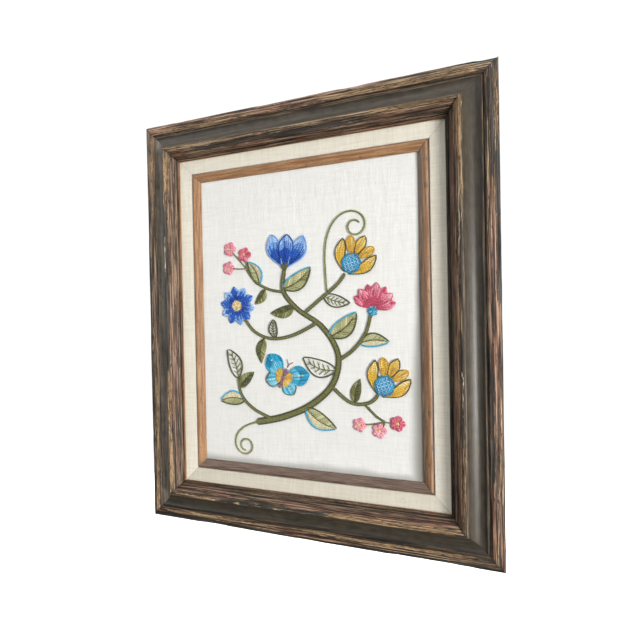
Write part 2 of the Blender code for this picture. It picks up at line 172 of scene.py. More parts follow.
PETAL_FULLNESS = 1.4
TULIP = Head(-21.5, 60, 84, (
    Petal(-3, 1, 25, 41, 18, 3), Petal(3, 1, -25, 41, 18, -3), Petal(0, 3, 0, 36, 18, 0),
))
ASTER = Head(-86, 18, 100, tuple(Petal(0, 0, 36 * k, 24, 11.5, 0) for k in range(10)))
ASTER_RADIUS = 7.5
CARNATION = Head(82, 7, 80, tuple(Petal(0, 3, 22 * k, 29 - abs(k), 11.5, 0) for k in range(-3, 4)))
CARNATION_CUP = (82, 8)
CARNATION_RADIUS = 6.0
FRUIT_PETALS = (
    Petal(-3, -12, 30, 37, 12, 4), Petal(3, -12, -30, 37, 12, -4),
    Petal(-4, 7, 30, 23, 10, 0), Petal(4, 7, -30, 23, 10, 0), Petal(0, 8, 0, 25, 11, 0),
)
FRUIT_LOW = Head(94, -73, 62, FRUIT_PETALS)
FRUIT_HIGH = Head(59, 61, 60, FRUIT_PETALS)
FRUIT_RADIUS = 10.5
BUTTERFLY = Head(-26, -68, 66, (
    Petal(0, 0, 58, 33, 23, 0), Petal(0, 0, -58, 33, 23, 0),
    Petal(0, 0, 122, 23, 18, 0), Petal(0, 0, -122, 23, 18, 0), Petal(0, -13, 0, 27, 6, 0),
))
BERRIES = (
    (-75, 79, 8.6), (-97, 64, 8.0), (-95, 87, 8.4),
    (107, -113, 8.2), (87, -122, 8.0), (65, -117, 7.6),
)
TENDRILS = (Tendril(30, 29, 94, 182, -520, 3.1), Tendril(-62, -122, 197, 112, 520, 2.0))


def linear(code):
    """A linear colour from a hexadecimal one."""
    parts = [int(code[i:i + 2], 16) / 255 for i in (0, 2, 4)]
    return tuple(p / 12.92 if p <= 0.04045 else ((p + 0.055) / 1.055) ** 2.4 for p in parts)


WOOL = {name: np.array(linear(code)) for name, code in {
    "cobalt": "19409c", "royal": "2b61c1", "sky": "78a7e2", "ice": "b4cfef",
    "turquoise": "35acd4", "aqua": "8ad4ea", "teal": "1787ad",
    "gold": "e2b749", "honey": "c79c44", "straw": "f0dc9a", "umber": "6b5226",
    "rose": "c7526c", "pink": "e58a9f", "blush": "f2b9c3",
    "olive": "777749", "moss": "4f5233", "sage": "a8a979", "celery": "c9caa0",
    "mauve": "a9838f", "plum": "7f5766", "cream": "f4edcf",
}.items()}


# Meshes and noise

def mesh_from_arrays(name, points, faces):
    """A mesh from points in metres and a list of arrays of faces, one array for each face size."""
    mesh = bpy.data.meshes.new(name)
    mesh.vertices.add(len(points))
    mesh.vertices.foreach_set("co", np.ascontiguousarray(points, np.float32).ravel())
    corners = np.concatenate([part.ravel() for part in faces])
    sizes = np.concatenate([np.full(len(part), part.shape[1]) for part in faces])
    mesh.loops.add(len(corners))
    mesh.loops.foreach_set("vertex_index", corners.astype(np.int32))
    mesh.polygons.add(len(sizes))
    mesh.polygons.foreach_set("loop_start", (np.cumsum(sizes) - sizes).astype(np.int32))
    mesh.update(calc_edges=True)
    mesh.shade_smooth()
    return mesh


def add_object(name, data):
    """An object of the scene that holds a mesh, a light or a camera."""
    made = bpy.data.objects.new(name, data)
    bpy.context.scene.collection.objects.link(made)
    return made


def add_piece(name, mesh, material, stands_for=None):
    """A piece of the object that rides on its only body."""
    piece = add_object(name, mesh)
    mesh.materials.append(material)
    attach(piece, BODY)
    if stands_for:
        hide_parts(stands_for)
    return piece


def put_values(mesh, name, values, kind="FLOAT", field="value"):
    """Stores a number or a colour for each point."""
    layer = mesh.attributes.new(name, kind, "POINT")
    layer.data.foreach_set(field, np.ascontiguousarray(values, np.float32).ravel())


def put_uv(mesh, name, uv):
    """Stores a place on a texture for each corner of the faces."""
    mesh.uv_layers.new(name=name).data.foreach_set("uv", uv.astype(np.float32).ravel())


def smooth_noise(x, y, seed):
    """Noise between -1 and 1 in cells one unit wide."""
    table = np.random.default_rng(seed).uniform(-1, 1, (NOISE_CELLS, NOISE_CELLS))
    left, low = np.floor(x).astype(int), np.floor(y).astype(int)
    u, v = x - left, y - low
    u = u * u * (3 - 2 * u)
    v = v * v * (3 - 2 * v)

    def corner(i, j):
        return table[(left + i) % NOISE_CELLS, (low + j) % NOISE_CELLS]

    below = corner(0, 0) * (1 - u) + corner(1, 0) * u
    above = corner(0, 1) * (1 - u) + corner(1, 1) * u
    return below * (1 - v) + above * v


def layered_noise(x, y, seed, layers=3):
    """Smooth noise with finer layers at half the strength of the one before."""
    total = sum(smooth_noise(x * 2 ** k, y * 2 ** k, seed + k) / 2 ** k for k in range(layers))
    return total / (2 - 2.0 ** (1 - layers))


def line_noise(along, seed):
    """Smooth noise that runs along a line and is the same all across it."""
    return smooth_noise(along, along * 0 + 0.5, seed)


def ramp(value, low, high):
    """0 below low, 1 above high and smooth in between."""
    t = np.clip((value - low) / (high - low), 0, 1)
    return t * t * (3 - 2 * t)


def band(value, low, high, soft):
    """1 between low and high, fading over the soft distance on both sides."""
    return ramp(value, low - soft, low + soft) * (1 - ramp(value, high - soft, high + soft))


def distances(route):
    """How far along a route each of its points lies."""
    return np.concatenate([[0], np.cumsum(np.linalg.norm(np.diff(route, axis=0), axis=1))])


def unit(vectors):
    """Vectors along the last axis, each brought to length 1."""
    return vectors / np.maximum(np.linalg.norm(vectors, axis=-1, keepdims=True), 1e-9)


# Mouldings

def cubic(t, start, pull_start, pull_end, end):
    """Points on a cubic curve at the shares t of its course."""
    s = 1 - t
    return (s ** 3 * np.array(start) + 3 * s * s * t * np.array(pull_start)
            + 3 * s * t * t * np.array(pull_end) + t ** 3 * np.array(end))


def curve_points(start, pull_start, pull_end, end, step=FINE_STEP):
    """Points along a cubic curve, about a step apart, both ends included."""
    count = max(3, round(math.dist(start, end) * 1.1 / step))
    return cubic(np.linspace(0, 1, count + 1)[:, None], start, pull_start, pull_end, end)


def straight_points(start, end, step):
    """Points along a straight line, about a step apart, without the last one."""
    count = max(1, round(math.dist(start, end) / step))
    t = np.linspace(0, 1, count + 1)[:-1, None]
    return (1 - t) * np.array(start, float) + t * np.array(end, float)


def chain(points, step):
    """Points along straight lines through the given corners, without the last corner."""
    return [straight_points(a, b, step) for a, b in zip(points, points[1:])]


def section_from(parts, painted_count):
    """A closed section, and a mark on its first points, which lie on the finished front."""
    section = np.concatenate(parts)
    painted = np.zeros(len(section))
    painted[:painted_count] = 1
    return section, painted


def frame_profile():
    """The moulding's section, whose front and outer side are finished."""
    lip_end = (LIP_INSET, LIP_HEIGHT - 0.2)
    cove_start = (COVE_START_INSET, COVE_START_HEIGHT)
    ridge_end = (RIDGE_INNER_INSET, RIDGE_HEIGHT - 1.2)
    bead_start = (INNER_GROOVE_INSET + 0.6, BEAD_HEIGHT - 0.8)
    bead_end = (SIGHT_INSET, BEAD_HEIGHT - 1.4)
    lip = curve_points((0, SIDE_HEIGHT), (2, LIP_HEIGHT - 1), (8, LIP_HEIGHT + 0.4), lip_end)
    groove = chain([lip_end, (GROOVE_INSET, GROOVE_HEIGHT), cove_start], FINE_STEP)
    cove = curve_points(cove_start, (24, 15.5), (32, 25), (RIDGE_OUTER_INSET, RIDGE_HEIGHT - 0.8))
    ridge = curve_points((RIDGE_OUTER_INSET + 0.7, RIDGE_HEIGHT),
                         (RIDGE_OUTER_INSET + 1.6, RIDGE_HEIGHT + 0.3),
                         (RIDGE_INNER_INSET - 0.8, RIDGE_HEIGHT), ridge_end)
    inner = curve_points(ridge_end, (42, 28.6), (45.6, 24.4),
                         (INNER_GROOVE_INSET - 0.6, INNER_GROOVE_HEIGHT + 1.4))
    inner_groove = chain([tuple(inner[-1]), (INNER_GROOVE_INSET, INNER_GROOVE_HEIGHT), bead_start],
                         FINE_STEP)
    bead = curve_points(bead_start, (49.2, BEAD_HEIGHT + 0.3), (SIGHT_INSET, BEAD_HEIGHT + 0.3),
                        bead_end, FINE_STEP / 2)
    front = [lip[:-1], *groove, cove, ridge, inner[1:-1], *inner_groove, bead]
    back = chain([bead_end, (SIGHT_INSET, REBATE_HEIGHT), (REBATE_INSET, REBATE_HEIGHT),
                  (REBATE_INSET, 0), (0, 0)], PLAIN_STEP)
    side = straight_points((0, 0), (0, SIDE_HEIGHT), FINE_STEP * 1.6)
    section, painted = section_from([*front, back[0][1:], *back[1:], side], sum(map(len, front)))
    painted[-len(side):] = 1
    return section, painted


def liner_profile():
    """The liner's section, with its cloth rounding the inner edge."""
    start = (LINER_OUTER_INSET, LINER_OUTER_HEIGHT)
    slope_start = (SIGHT_INSET, LINER_OUTER_HEIGHT)
    edge_start = (LINER_INNER_INSET - 1.4, LINER_INNER_HEIGHT + 0.1)
    edge_end = (LINER_INNER_INSET, LINER_INNER_HEIGHT - 1.2)
    face = straight_points(start, slope_start, 2)
    slope = straight_points(slope_start, edge_start, 1.6)
    edge = curve_points(edge_start, (LINER_INNER_INSET - 0.4, LINER_INNER_HEIGHT),
                        (LINER_INNER_INSET, LINER_INNER_HEIGHT - 0.4), edge_end, 0.4)
    back = chain([edge_end, (LINER_INNER_INSET, LINER_REBATE_HEIGHT),
                  (LINER_REBATE_INSET, LINER_REBATE_HEIGHT), (LINER_REBATE_INSET, LINER_BACK_HEIGHT),
                  (LINER_OUTER_INSET, LINER_BACK_HEIGHT), start], PLAIN_STEP)
    return section_from([face, slope, edge[:-1], *back], len(face) + len(slope) + len(edge))


def fillet_profile():
    """The fillet's section, with its round crown and the slope down to the linen."""
    start = (FILLET_FACE_INSET, LINER_INNER_HEIGHT - 0.4)
    slope_start = (FILLET_CROWN_INSET, FILLET_CROWN_HEIGHT - 0.7)
    slope_end = (FILLET_SIGHT_INSET, FILLET_SIGHT_HEIGHT)
    seat_height = LINEN_FRONT_HEIGHT + GAP
    crown = curve_points(start, (FILLET_FACE_INSET, FILLET_CROWN_HEIGHT),
                         (FILLET_CROWN_INSET - 1.4, FILLET_CROWN_HEIGHT + 0.6), slope_start, 0.7)
    slope = curve_points(slope_start, (74, 15.2), (77, 13.9), slope_end, 0.8)
    back = chain([slope_end, (FILLET_SIGHT_INSET, seat_height), (LINEN_INSET - GAP, seat_height),
                  (LINEN_INSET - GAP, FILLET_BACK_HEIGHT), (FILLET_OUTER_INSET, FILLET_BACK_HEIGHT),
                  (FILLET_OUTER_INSET, FILLET_FLANGE_HEIGHT), (FILLET_FACE_INSET, FILLET_FLANGE_HEIGHT),
                  start], PLAIN_STEP)
    return section_from([crown[:-1], slope[:-1], *back], len(crown) + len(slope))


# Each rail's own way along and inwards, seen from the front: (along x, along y, inwards x, inwards y)
RAILS = {"bottom": (1, 0, 0, 1), "right": (0, 1, -1, 0), "top": (-1, 0, 0, -1), "left": (0, -1, 1, 0)}


def section_normals(section):
    """Unit normals of a closed section that runs clockwise, pointing out of it."""
    normals = np.zeros_like(section)
    for run in (np.roll(section, -1, 0) - section, section - np.roll(section, 1, 0)):
        length = np.maximum(np.linalg.norm(run, axis=1, keepdims=True), 1e-9)
        normals += np.stack([-run[:, 1], run[:, 0]], 1) / length
    return unit(normals)


def build_rail(prefix, rail, number, profile, weather, material):
    """One mitred rail, worn by its own weathering, with the marks stored for its material."""
    section, painted = profile
    along_x, along_y, in_x, in_y = RAILS[rail]
    outer_length = OUTER_WIDTH if along_x else OUTER_HEIGHT
    half = outer_length / 2 - MITRE_SETBACK
    columns = round(outer_length / ALONG_STEP)
    ring = len(section)
    shape = (columns + 1, ring)
    shares = np.linspace(-1, 1, columns + 1)[:, None]
    inset = np.broadcast_to(section[:, 0], shape)
    arc = distances(section)
    along = shares * (half - inset)
    painted = np.broadcast_to(painted, shape)
    depth, marks = weather(rail, number, along, np.broadcast_to(arc, shape), inset, painted,
                           along * (along_x + along_y))
    normals = section_normals(section)
    worn_inset = np.maximum(inset - normals[:, 0] * depth, 0)
    worn_height = section[:, 1] - normals[:, 1] * depth
    run = shares * (half - worn_inset)
    x = run * along_x + (worn_inset - HALF_WIDTH) * in_x
    y = run * along_y + (worn_inset - HALF_HEIGHT) * in_y
    points = np.stack([x, -worn_height, y + CENTRE_Z], 2).reshape(-1, 3) * MM
    i, j = np.meshgrid(np.arange(columns), np.arange(ring), indexing="ij")
    k = (j + 1) % ring
    quads = np.stack([i * ring + j, i * ring + k, (i + 1) * ring + k, (i + 1) * ring + j], 2).reshape(-1, 4)
    ends = np.array([np.arange(ring)[::-1], columns * ring + np.arange(ring)])
    mesh = mesh_from_arrays(f"{prefix}_{rail}", points, [quads, ends])
    for name, values in {"inset": inset, "painted": painted, **marks}.items():
        put_values(mesh, name, values)
    arcs = np.append(arc, arc[-1] + np.linalg.norm(section[0] - section[-1]))
    spread = np.stack([along[i, j], arcs[j], along[i, k], arcs[j + 1],
                       along[i + 1, k], arcs[j + 1], along[i + 1, j], arcs[j]], 2)
    uv = np.concatenate([spread.reshape(-1, 2), np.tile(section, (2, 1))])
    uv[:, 0] += (number + 1) * GRAIN_SPACING
    put_uv(mesh, "grain", uv * MM)
    mesh.set_sharp_from_angle(angle=SHARP_ANGLE)
    return add_piece(f"{prefix}_{rail}_rail", mesh, material, f"{prefix}_{rail}")


# Worn places on single rails, by what they show. Each has its start and end, measured from the
# rail's middle to the right or up, and the insets it lies between. The wedge has its full width
# at its end and none at its start.
WEDGE = (112, 228, 34.6, 45)
WEDGE_STRENGTH = 1.7
PATCHES = {
    ("bare", "right"): (WEDGE, (-240, -150, 36.4, 41), (165, 240, 0.8, 2.4)),
    ("bare", "top"): ((20, 200, 8, 12.4), (-190, -60, 9, 12), (-200, -150, 34.6, 38.4), (90, 175, 35, 40)),
    ("bare", "left"): ((150, 212, 35, 42), (-205, -60, 35.2, 40.5), (130, 236, 8.6, 12), (-236, -70, 8, 12)),
    ("bare", "bottom"): ((-196, -40, 8.6, 12.4), (10, 190, 9.6, 12.6), (40, 172, 36.2, 41),
                         (-165, -120, 35, 38.6)),
    ("dark", "right"): ((20, 100, 34.8, 38), (-130, -10, 35, 39.4), (150, 246, 4.6, 8.8),
                        (20, 165, -1, 4.5), (-170, -60, 9, 12.4)),
    ("dark", "top"): ((-140, 60, 40, 44),),
    ("dark", "left"): ((-60, 150, 35.6, 40), (-240, 160, -1, 5.5)),
    ("dark", "bottom"): ((-110, 40, 36, 39.6), (-205, -20, 1, 6), (60, 205, 0, 5)),
    ("chip", "right"): ((68, 136, 37.4, 39.4), (-95, -50, 36.4, 38)),
    ("chip", "left"): ((60, 110, 36, 37.8),),
    ("chip", "bottom"): ((-160, -20, 35, 36.2),),
}

# How each rail looks: its rust and painted light, how pale the wood is on its lip and on its inner face
# at the start and the end, how orange the inner face is, how strong the painted shade in the hollows is on
# the lip and the inner face, how worn it is, its bead's painted shade and how dark the fillet beside it is
RAIL_LOOKS = {
    "bottom": Age(0.65, 0.14, -0.45, -0.1, 0.1, 0.5, 0.85, 0.6, 0.8, 0.5, 1.0),
    "right": Age(1.0, 0.1, -0.1, 0.6, 0.6, 1.0, 0.85, 0.8, 0.2, 0.9, 0.3),
    "top": Age(0.75, 0.26, 0.25, 0.3, 0.3, 0.5, 0.5, 0.5, 0.8, 0.0, 0.12),
    "left": Age(0.6, 1.2, -0.05, -0.15, 0.3, 0.35, 0.35, 0.25, 1.0, 0.0, 0.0),
}


def patch_mark(mark, rail, inset, place):
    """How strongly the patches of one kind mark each point of a rail."""
    total = np.zeros_like(place)
    wander = 1.1 * layered_noise(place / 16, inset * 0 + 3.5, 40) + 0.5 * layered_noise(place / 5, inset, 43)
    ragged = place + 26 * layered_noise(inset / 1.3, place / 90, 46)
    for patch in PATCHES.get((mark, rail), ()):
        start, end, low, high = patch
        reach = ramp(place, start, end) if patch == WEDGE else 1.0
        high = low + (high - low) * reach
        inside = band(inset + wander, low, high, 0.6) * band(ragged, start, end, 6)
        total = np.maximum(total, inside * (WEDGE_STRENGTH if patch == WEDGE else 1.0))
    return total


def near_mitre(along, reach, whole):
    """0 further than the reach from a rail's mitred ends and 1 nearer than the second distance."""
    end = np.abs(along).max(0)
    return ramp(np.abs(along), end - reach, end - whole)


def weather_frame(rail, number, along, across, inset, painted, place):
    """Grain, gouges, chipped edges and worm holes of the frame's wood, and the marks of its colour, painted
    light and painted shade among them.
    """
    seed = 100 * (number + 1)
    rail_look = RAIL_LOOKS[rail]
    lip = band(inset, -2, LIP_INSET, 0.8)
    cove = band(inset, COVE_START_INSET, 34.6, 1.2)
    ridge = band(inset, 34.8, 39.6, 0.7)
    inner = band(inset, 39.4, INNER_GROOVE_INSET - 0.6, 0.8)
    bead = band(inset, INNER_GROOVE_INSET + 0.6, SIGHT_INSET + 1, 0.4)
    swayed = across + 1.5 * line_noise(along / 52, seed)
    streak = layered_noise(along / 60, swayed / 1.9, seed + 1)
    fine = layered_noise(along / 20, swayed / 1.0, seed + 5)
    amount = 0.05 + 0.42 * lip + 0.02 * cove + 0.38 * inner + 0.2 * ridge + 0.1 * bead
    grain = amount * np.clip(0.55 - 0.9 * streak - 0.35 * fine, 0, None)
    gouge = ramp(smooth_noise(along / 70, swayed / 2.6, seed + 9), 0.34, 0.72)
    gouge = gouge * (lip + 0.75 * inner + 0.25 * bead)
    chip_where = smooth_noise(along / 46, across * 0 + 2.5, seed + 13)
    chip_noise = smooth_noise(along / 9, across / 1.9, seed + 12) + 0.35 * fine
    chip = ramp(chip_noise + 0.7 * chip_where, 0.5, 0.85) * ridge
    edge = (1 - ramp(inset, 0.4, 3.2)) + 0.5 * band(inset, 11.4, 13.2, 0.5)
    nick = ramp(smooth_noise(along / 40, across / 8, seed + 15) + 0.5 * fine, 0.1, 1.1) * edge
    hole = ramp(smooth_noise(along / 2.4, across / 1.8, seed + 17), 0.95, 0.985) * (lip + 0.6 * cove + inner)
    mitre = near_mitre(along, 1.3, 0.2) * (1 - 0.55 * cove)
    depth = (grain + 0.95 * gouge + 0.7 * chip + 0.75 * nick + 1.1 * hole + 0.15 * mitre) * painted
    bare, dark, flake = (patch_mark(mark, rail, inset, place) for mark in ("bare", "dark", "chip"))
    rubbed = 0.35 * band(inset, 8.8, 12.4, 0.8) * ramp(streak, -0.2, 0.5)
    wear = 0.55 * chip + 0.3 * ridge * ramp(chip_where, -0.2, 0.7) + rubbed
    rust = 0.8 - 0.5 * ramp(place, -20, 150) * lip + 0.6 * smooth_noise(along / 60, swayed / 3.4, seed + 21)
    inner_tone = rail_look.start_tone + (rail_look.end_tone - rail_look.start_tone) * ramp(place, -200, 150)
    marks = {
        "wear": np.clip(bare + rail_look.wear * wear + 0.25 * nick, 0, 1.7),
        # Gouges, charcoal patches, worm holes and mitres are dark, and painted shade lies on the bead of the
        # right and bottom rails
        "dark": np.clip(0.8 * gouge + dark * (1 - cove) + hole + 0.7 * mitre + rail_look.bead_stain * bead, 0, 1),
        "rust": np.clip(rail_look.rust * (lip + inner) * rust, 0, 1),
        "relief": np.clip(streak + rail_look.lip_tone * (lip + ridge) + inner_tone * inner, -1.5, 1.2),
        # Painted shade in the hollows, its strength by rail, one for the lip and one for the inner face
        "hollow": rail_look.lip_hollow + (rail_look.inner_hollow - rail_look.lip_hollow) * ramp(inset, 38, 40.5),
        "flame": rail_look.flame * inner,
        "rough": 1 - cove,
        # Painted light: paint and wood paler on some rails, most on the left one, with some noise
        "painted_light": rail_look.fade * (0.7 + 0.3 * smooth_noise(along / 45, across / 9, seed + 23)),
        "chip": np.clip(rail_look.wear * chip * ramp(chip_where, -0.1, 0.4) + flake, 0, 1),
    }
    return depth, marks


def weather_liner(rail, number, along, across, inset, painted, place):
    """The liner's cloth swells and dips a little along its rounded edge."""
    swell = 0.1 * smooth_noise(along / 21, across / 9, 900 + number)
    mitre = near_mitre(along, 0.9, 0.1)
    # Darker near the mitres, and painted shade over the whole bottom liner
    painted_shade_and_darkening = 0.16 * mitre + (0.26 if rail == "bottom" else 0.0)
    return (0.1 + swell + 0.1 * mitre) * painted, {"painted_shade_and_darkening": painted_shade_and_darkening * painted}


def weather_fillet(rail, number, along, across, inset, painted, place):
    """Open pores, small nicks, dark mitres, darker wood on some rails, and painted shade at the outer edge
    and on the right fillet's inner slope.
    """
    grain = layered_noise(along / 17, across / 0.9, 950 + number)
    nick = ramp(smooth_noise(along / 9, across / 3, 960 + number), 0.62, 0.95)
    mitre = near_mitre(along, 0.9, 0.1)
    depth = (0.1 + 0.07 * grain + 0.22 * nick + 0.1 * mitre) * painted
    # Painted shade along the outer edge, in the gap beside the liner
    edge = 1 - ramp(inset, FILLET_FACE_INSET + 0.3, FILLET_FACE_INSET + 1.2)
    # Painted shade on the right fillet's inner slope, which faces away from the light
    inner = ramp(inset, FILLET_CROWN_INSET, FILLET_SIGHT_INSET - 2) if rail == "right" else 0.0
    painted_shade_and_dark_wood = (RAIL_LOOKS[rail].fillet_stain + 0.35 * inner) * (0.75 + 0.5 * grain)
    return depth, {"dark": np.clip(0.45 * mitre + 0.6 * edge + 0.35 * nick + painted_shade_and_dark_wood, 0, 1) * painted}


# Materials

class Graph:
    """The node tree of a material or a world, with short calls for the nodes that they share.

    Noise lies on its surface, a vector in metres that runs along and across.
    """

    def __init__(self, owner):
        owner.use_nodes = True
        self.owner = owner
        self.tree = owner.node_tree
        self.surface = None

    def node(self, kind, inputs=None, **properties):
        """A node with its properties set and its inputs set or linked."""
        made = self.tree.nodes.new(kind)
        for name, value in properties.items():
            setattr(made, name, value)
        for name, value in (inputs or {}).items():
            if isinstance(value, bpy.types.NodeSocket):
                self.tree.links.new(value, made.inputs[name])
            else:
                made.inputs[name].default_value = value
        return made

    def stored(self, name, output="Fac"):
        """A value that the mesh stores for each point."""
        return self.node("ShaderNodeAttribute", attribute_name=name).outputs[output]

    def uv(self, name):
        """The place on a texture that the mesh stores."""
        return self.node("ShaderNodeUVMap", uv_map=name).outputs["UV"]

    def parts(self, vector):
        """The X, Y and Z of a vector."""
        return self.node("ShaderNodeSeparateXYZ", {0: vector}).outputs

    def math(self, operation, first, second=0.0):
        return self.node("ShaderNodeMath", {0: first, 1: second}, operation=operation).outputs[0]

    def times(self, first, second):
        return self.math("MULTIPLY", first, second)

    def plus(self, first, second):
        return self.math("ADD", first, second)

    def weighted(self, first, first_share, second, second_share):
        """Sum of two values, each times its share."""
        return self.plus(self.times(first, first_share), self.times(second, second_share))

    def step(self, value, low, high, floor=0.0, top=1.0):
        """Smooth step of a value, from floor at low to top at high."""
        inputs = {"Value": value, "From Min": low, "From Max": high, "To Min": floor, "To Max": top}
        return self.node("ShaderNodeMapRange", inputs, interpolation_type="SMOOTHSTEP").outputs["Result"]

    def blend(self, factor, first, second, way="MIX"):
        """Mixes two colours, each a hexadecimal code, a colour or a socket."""
        colours = [(*linear(c), 1) if isinstance(c, str) else c for c in (first, second)]
        return self.node("ShaderNodeMix", {0: factor, 6: colours[0], 7: colours[1]},
                         data_type="RGBA", blend_type=way).outputs[2]

    def coat(self, colour, mask, share, over):
        """A colour with another over it where the mask is, at a share of its full strength."""
        return self.blend(self.times(mask, share), colour, over)

    def scaled_noise(self, vector, sizes, **look):
        """Noise whose cells have the given sizes in millimetres, or none for a size of None."""
        scales = tuple(1 if size is None else 1 / (size * MM) for size in sizes)
        scaled = self.node("ShaderNodeVectorMath", {0: vector, 1: scales}, operation="MULTIPLY")
        inputs = {"Vector": scaled.outputs[0], "Scale": 1.0, **look}
        return self.node("ShaderNodeTexNoise", inputs).outputs["Fac"]

    def noise(self, along, across, detail=3.0, roughness=0.55):
        """Noise stretched over the surface."""
        return self.scaled_noise(self.surface, (along, across, None), Detail=detail, Roughness=roughness)

    def ramp(self, value, stops):
        """A ramp through the colours, each at its place between 0 and 1."""
        made = self.node("ShaderNodeValToRGB", {"Fac": value})
        elements = made.color_ramp.elements
        while len(elements) < len(stops):
            elements.new(0.5)
        for element, (position, code) in zip(elements, stops):
            element.position = position
            element.color = (*linear(code), 1)
        return made.outputs["Color"]

    def finish(self, colour, roughness, height, distance, strength, **uniform):
        """The material, with colour, roughness and bump connected and its even inputs set."""
        shader = self.tree.nodes["Principled BSDF"]
        self.tree.links.new(colour, shader.inputs["Base Color"])
        if isinstance(roughness, bpy.types.NodeSocket):
            self.tree.links.new(roughness, shader.inputs["Roughness"])
        else:
            shader.inputs["Roughness"].default_value = roughness
        bump = self.node("ShaderNodeBump", {"Height": height, "Distance": distance, "Strength": strength})
        self.tree.links.new(bump.outputs["Normal"], shader.inputs["Normal"])
        for name, value in uniform.items():
            shader.inputs[name.replace("_", " ")].default_value = value
        return self.owner


def new_material(name, uv=None):
    """The graph of a new material, with its noise on the given texture places of the mesh."""
    g = Graph(bpy.data.materials.new(name))
    if uv:
        g.surface = g.uv(uv)
    return g


# Paint of the cove and the grooves, with painted shade towards the groove, and the painted shade in the
# moulding's hollows, by inset
COVE_PAINT_AND_SHADE = (
    (0.0, "5a544a"), (COVE_START_INSET, "26221b"), (20.0, "342e24"), (26.0, "3d3629"), (31.0, "443b2d"),
    (35.0, "43392b"), (SIGHT_INSET, "46392f"),
)
PAINTED_HOLLOW_SHADE = (
    (0.0, "b4b4b4"), (2.5, "ffffff"), (11.8, "f0f0f0"), (GROOVE_INSET, "3c3632"),
    (COVE_START_INSET, "b4b0aa"), (19.0, "ffffff"), (38.0, "ffffff"), (42.5, "c0bbb6"),
    (46.6, "7a7470"), (INNER_GROOVE_INSET, "2a2624"), (48.6, "e0e0e0"), (SIGHT_INSET, "b0b0b0"),
)

# Shades of the wood from its deepest grain to its highest: bare wood, its reddened and its orange
# places, the bead at the sight edge, and the golden wood that wear has opened
WOOD_SHADES = ((0.42, "120e0b"), (0.465, "3a2d23"), (0.5, "66503d"), (0.54, "8d7456"), (0.59, "bba483"))
RED_SHADES = ((0.42, "1c120e"), (0.465, "493226"), (0.5, "785540"), (0.545, "9b775e"), (0.6, "bd9c84"))
ORANGE_SHADES = ((0.42, "1d110b"), (0.5, "6e4128"), (0.6, "a8764d"))
BEAD_SHADES = ((0.4, "3a2417"), (0.5, "7c533a"), (0.6, "a67c58"))
GOLD_SHADES = ((0.41, "291e15"), (0.46, "5b452f"), (0.51, "87694a"), (0.57, "b99d75"))
RUB_SHADES = ((0.5, "b9b8b4"), (0.6, "e6e4e0"), (0.72, "ffffff"))


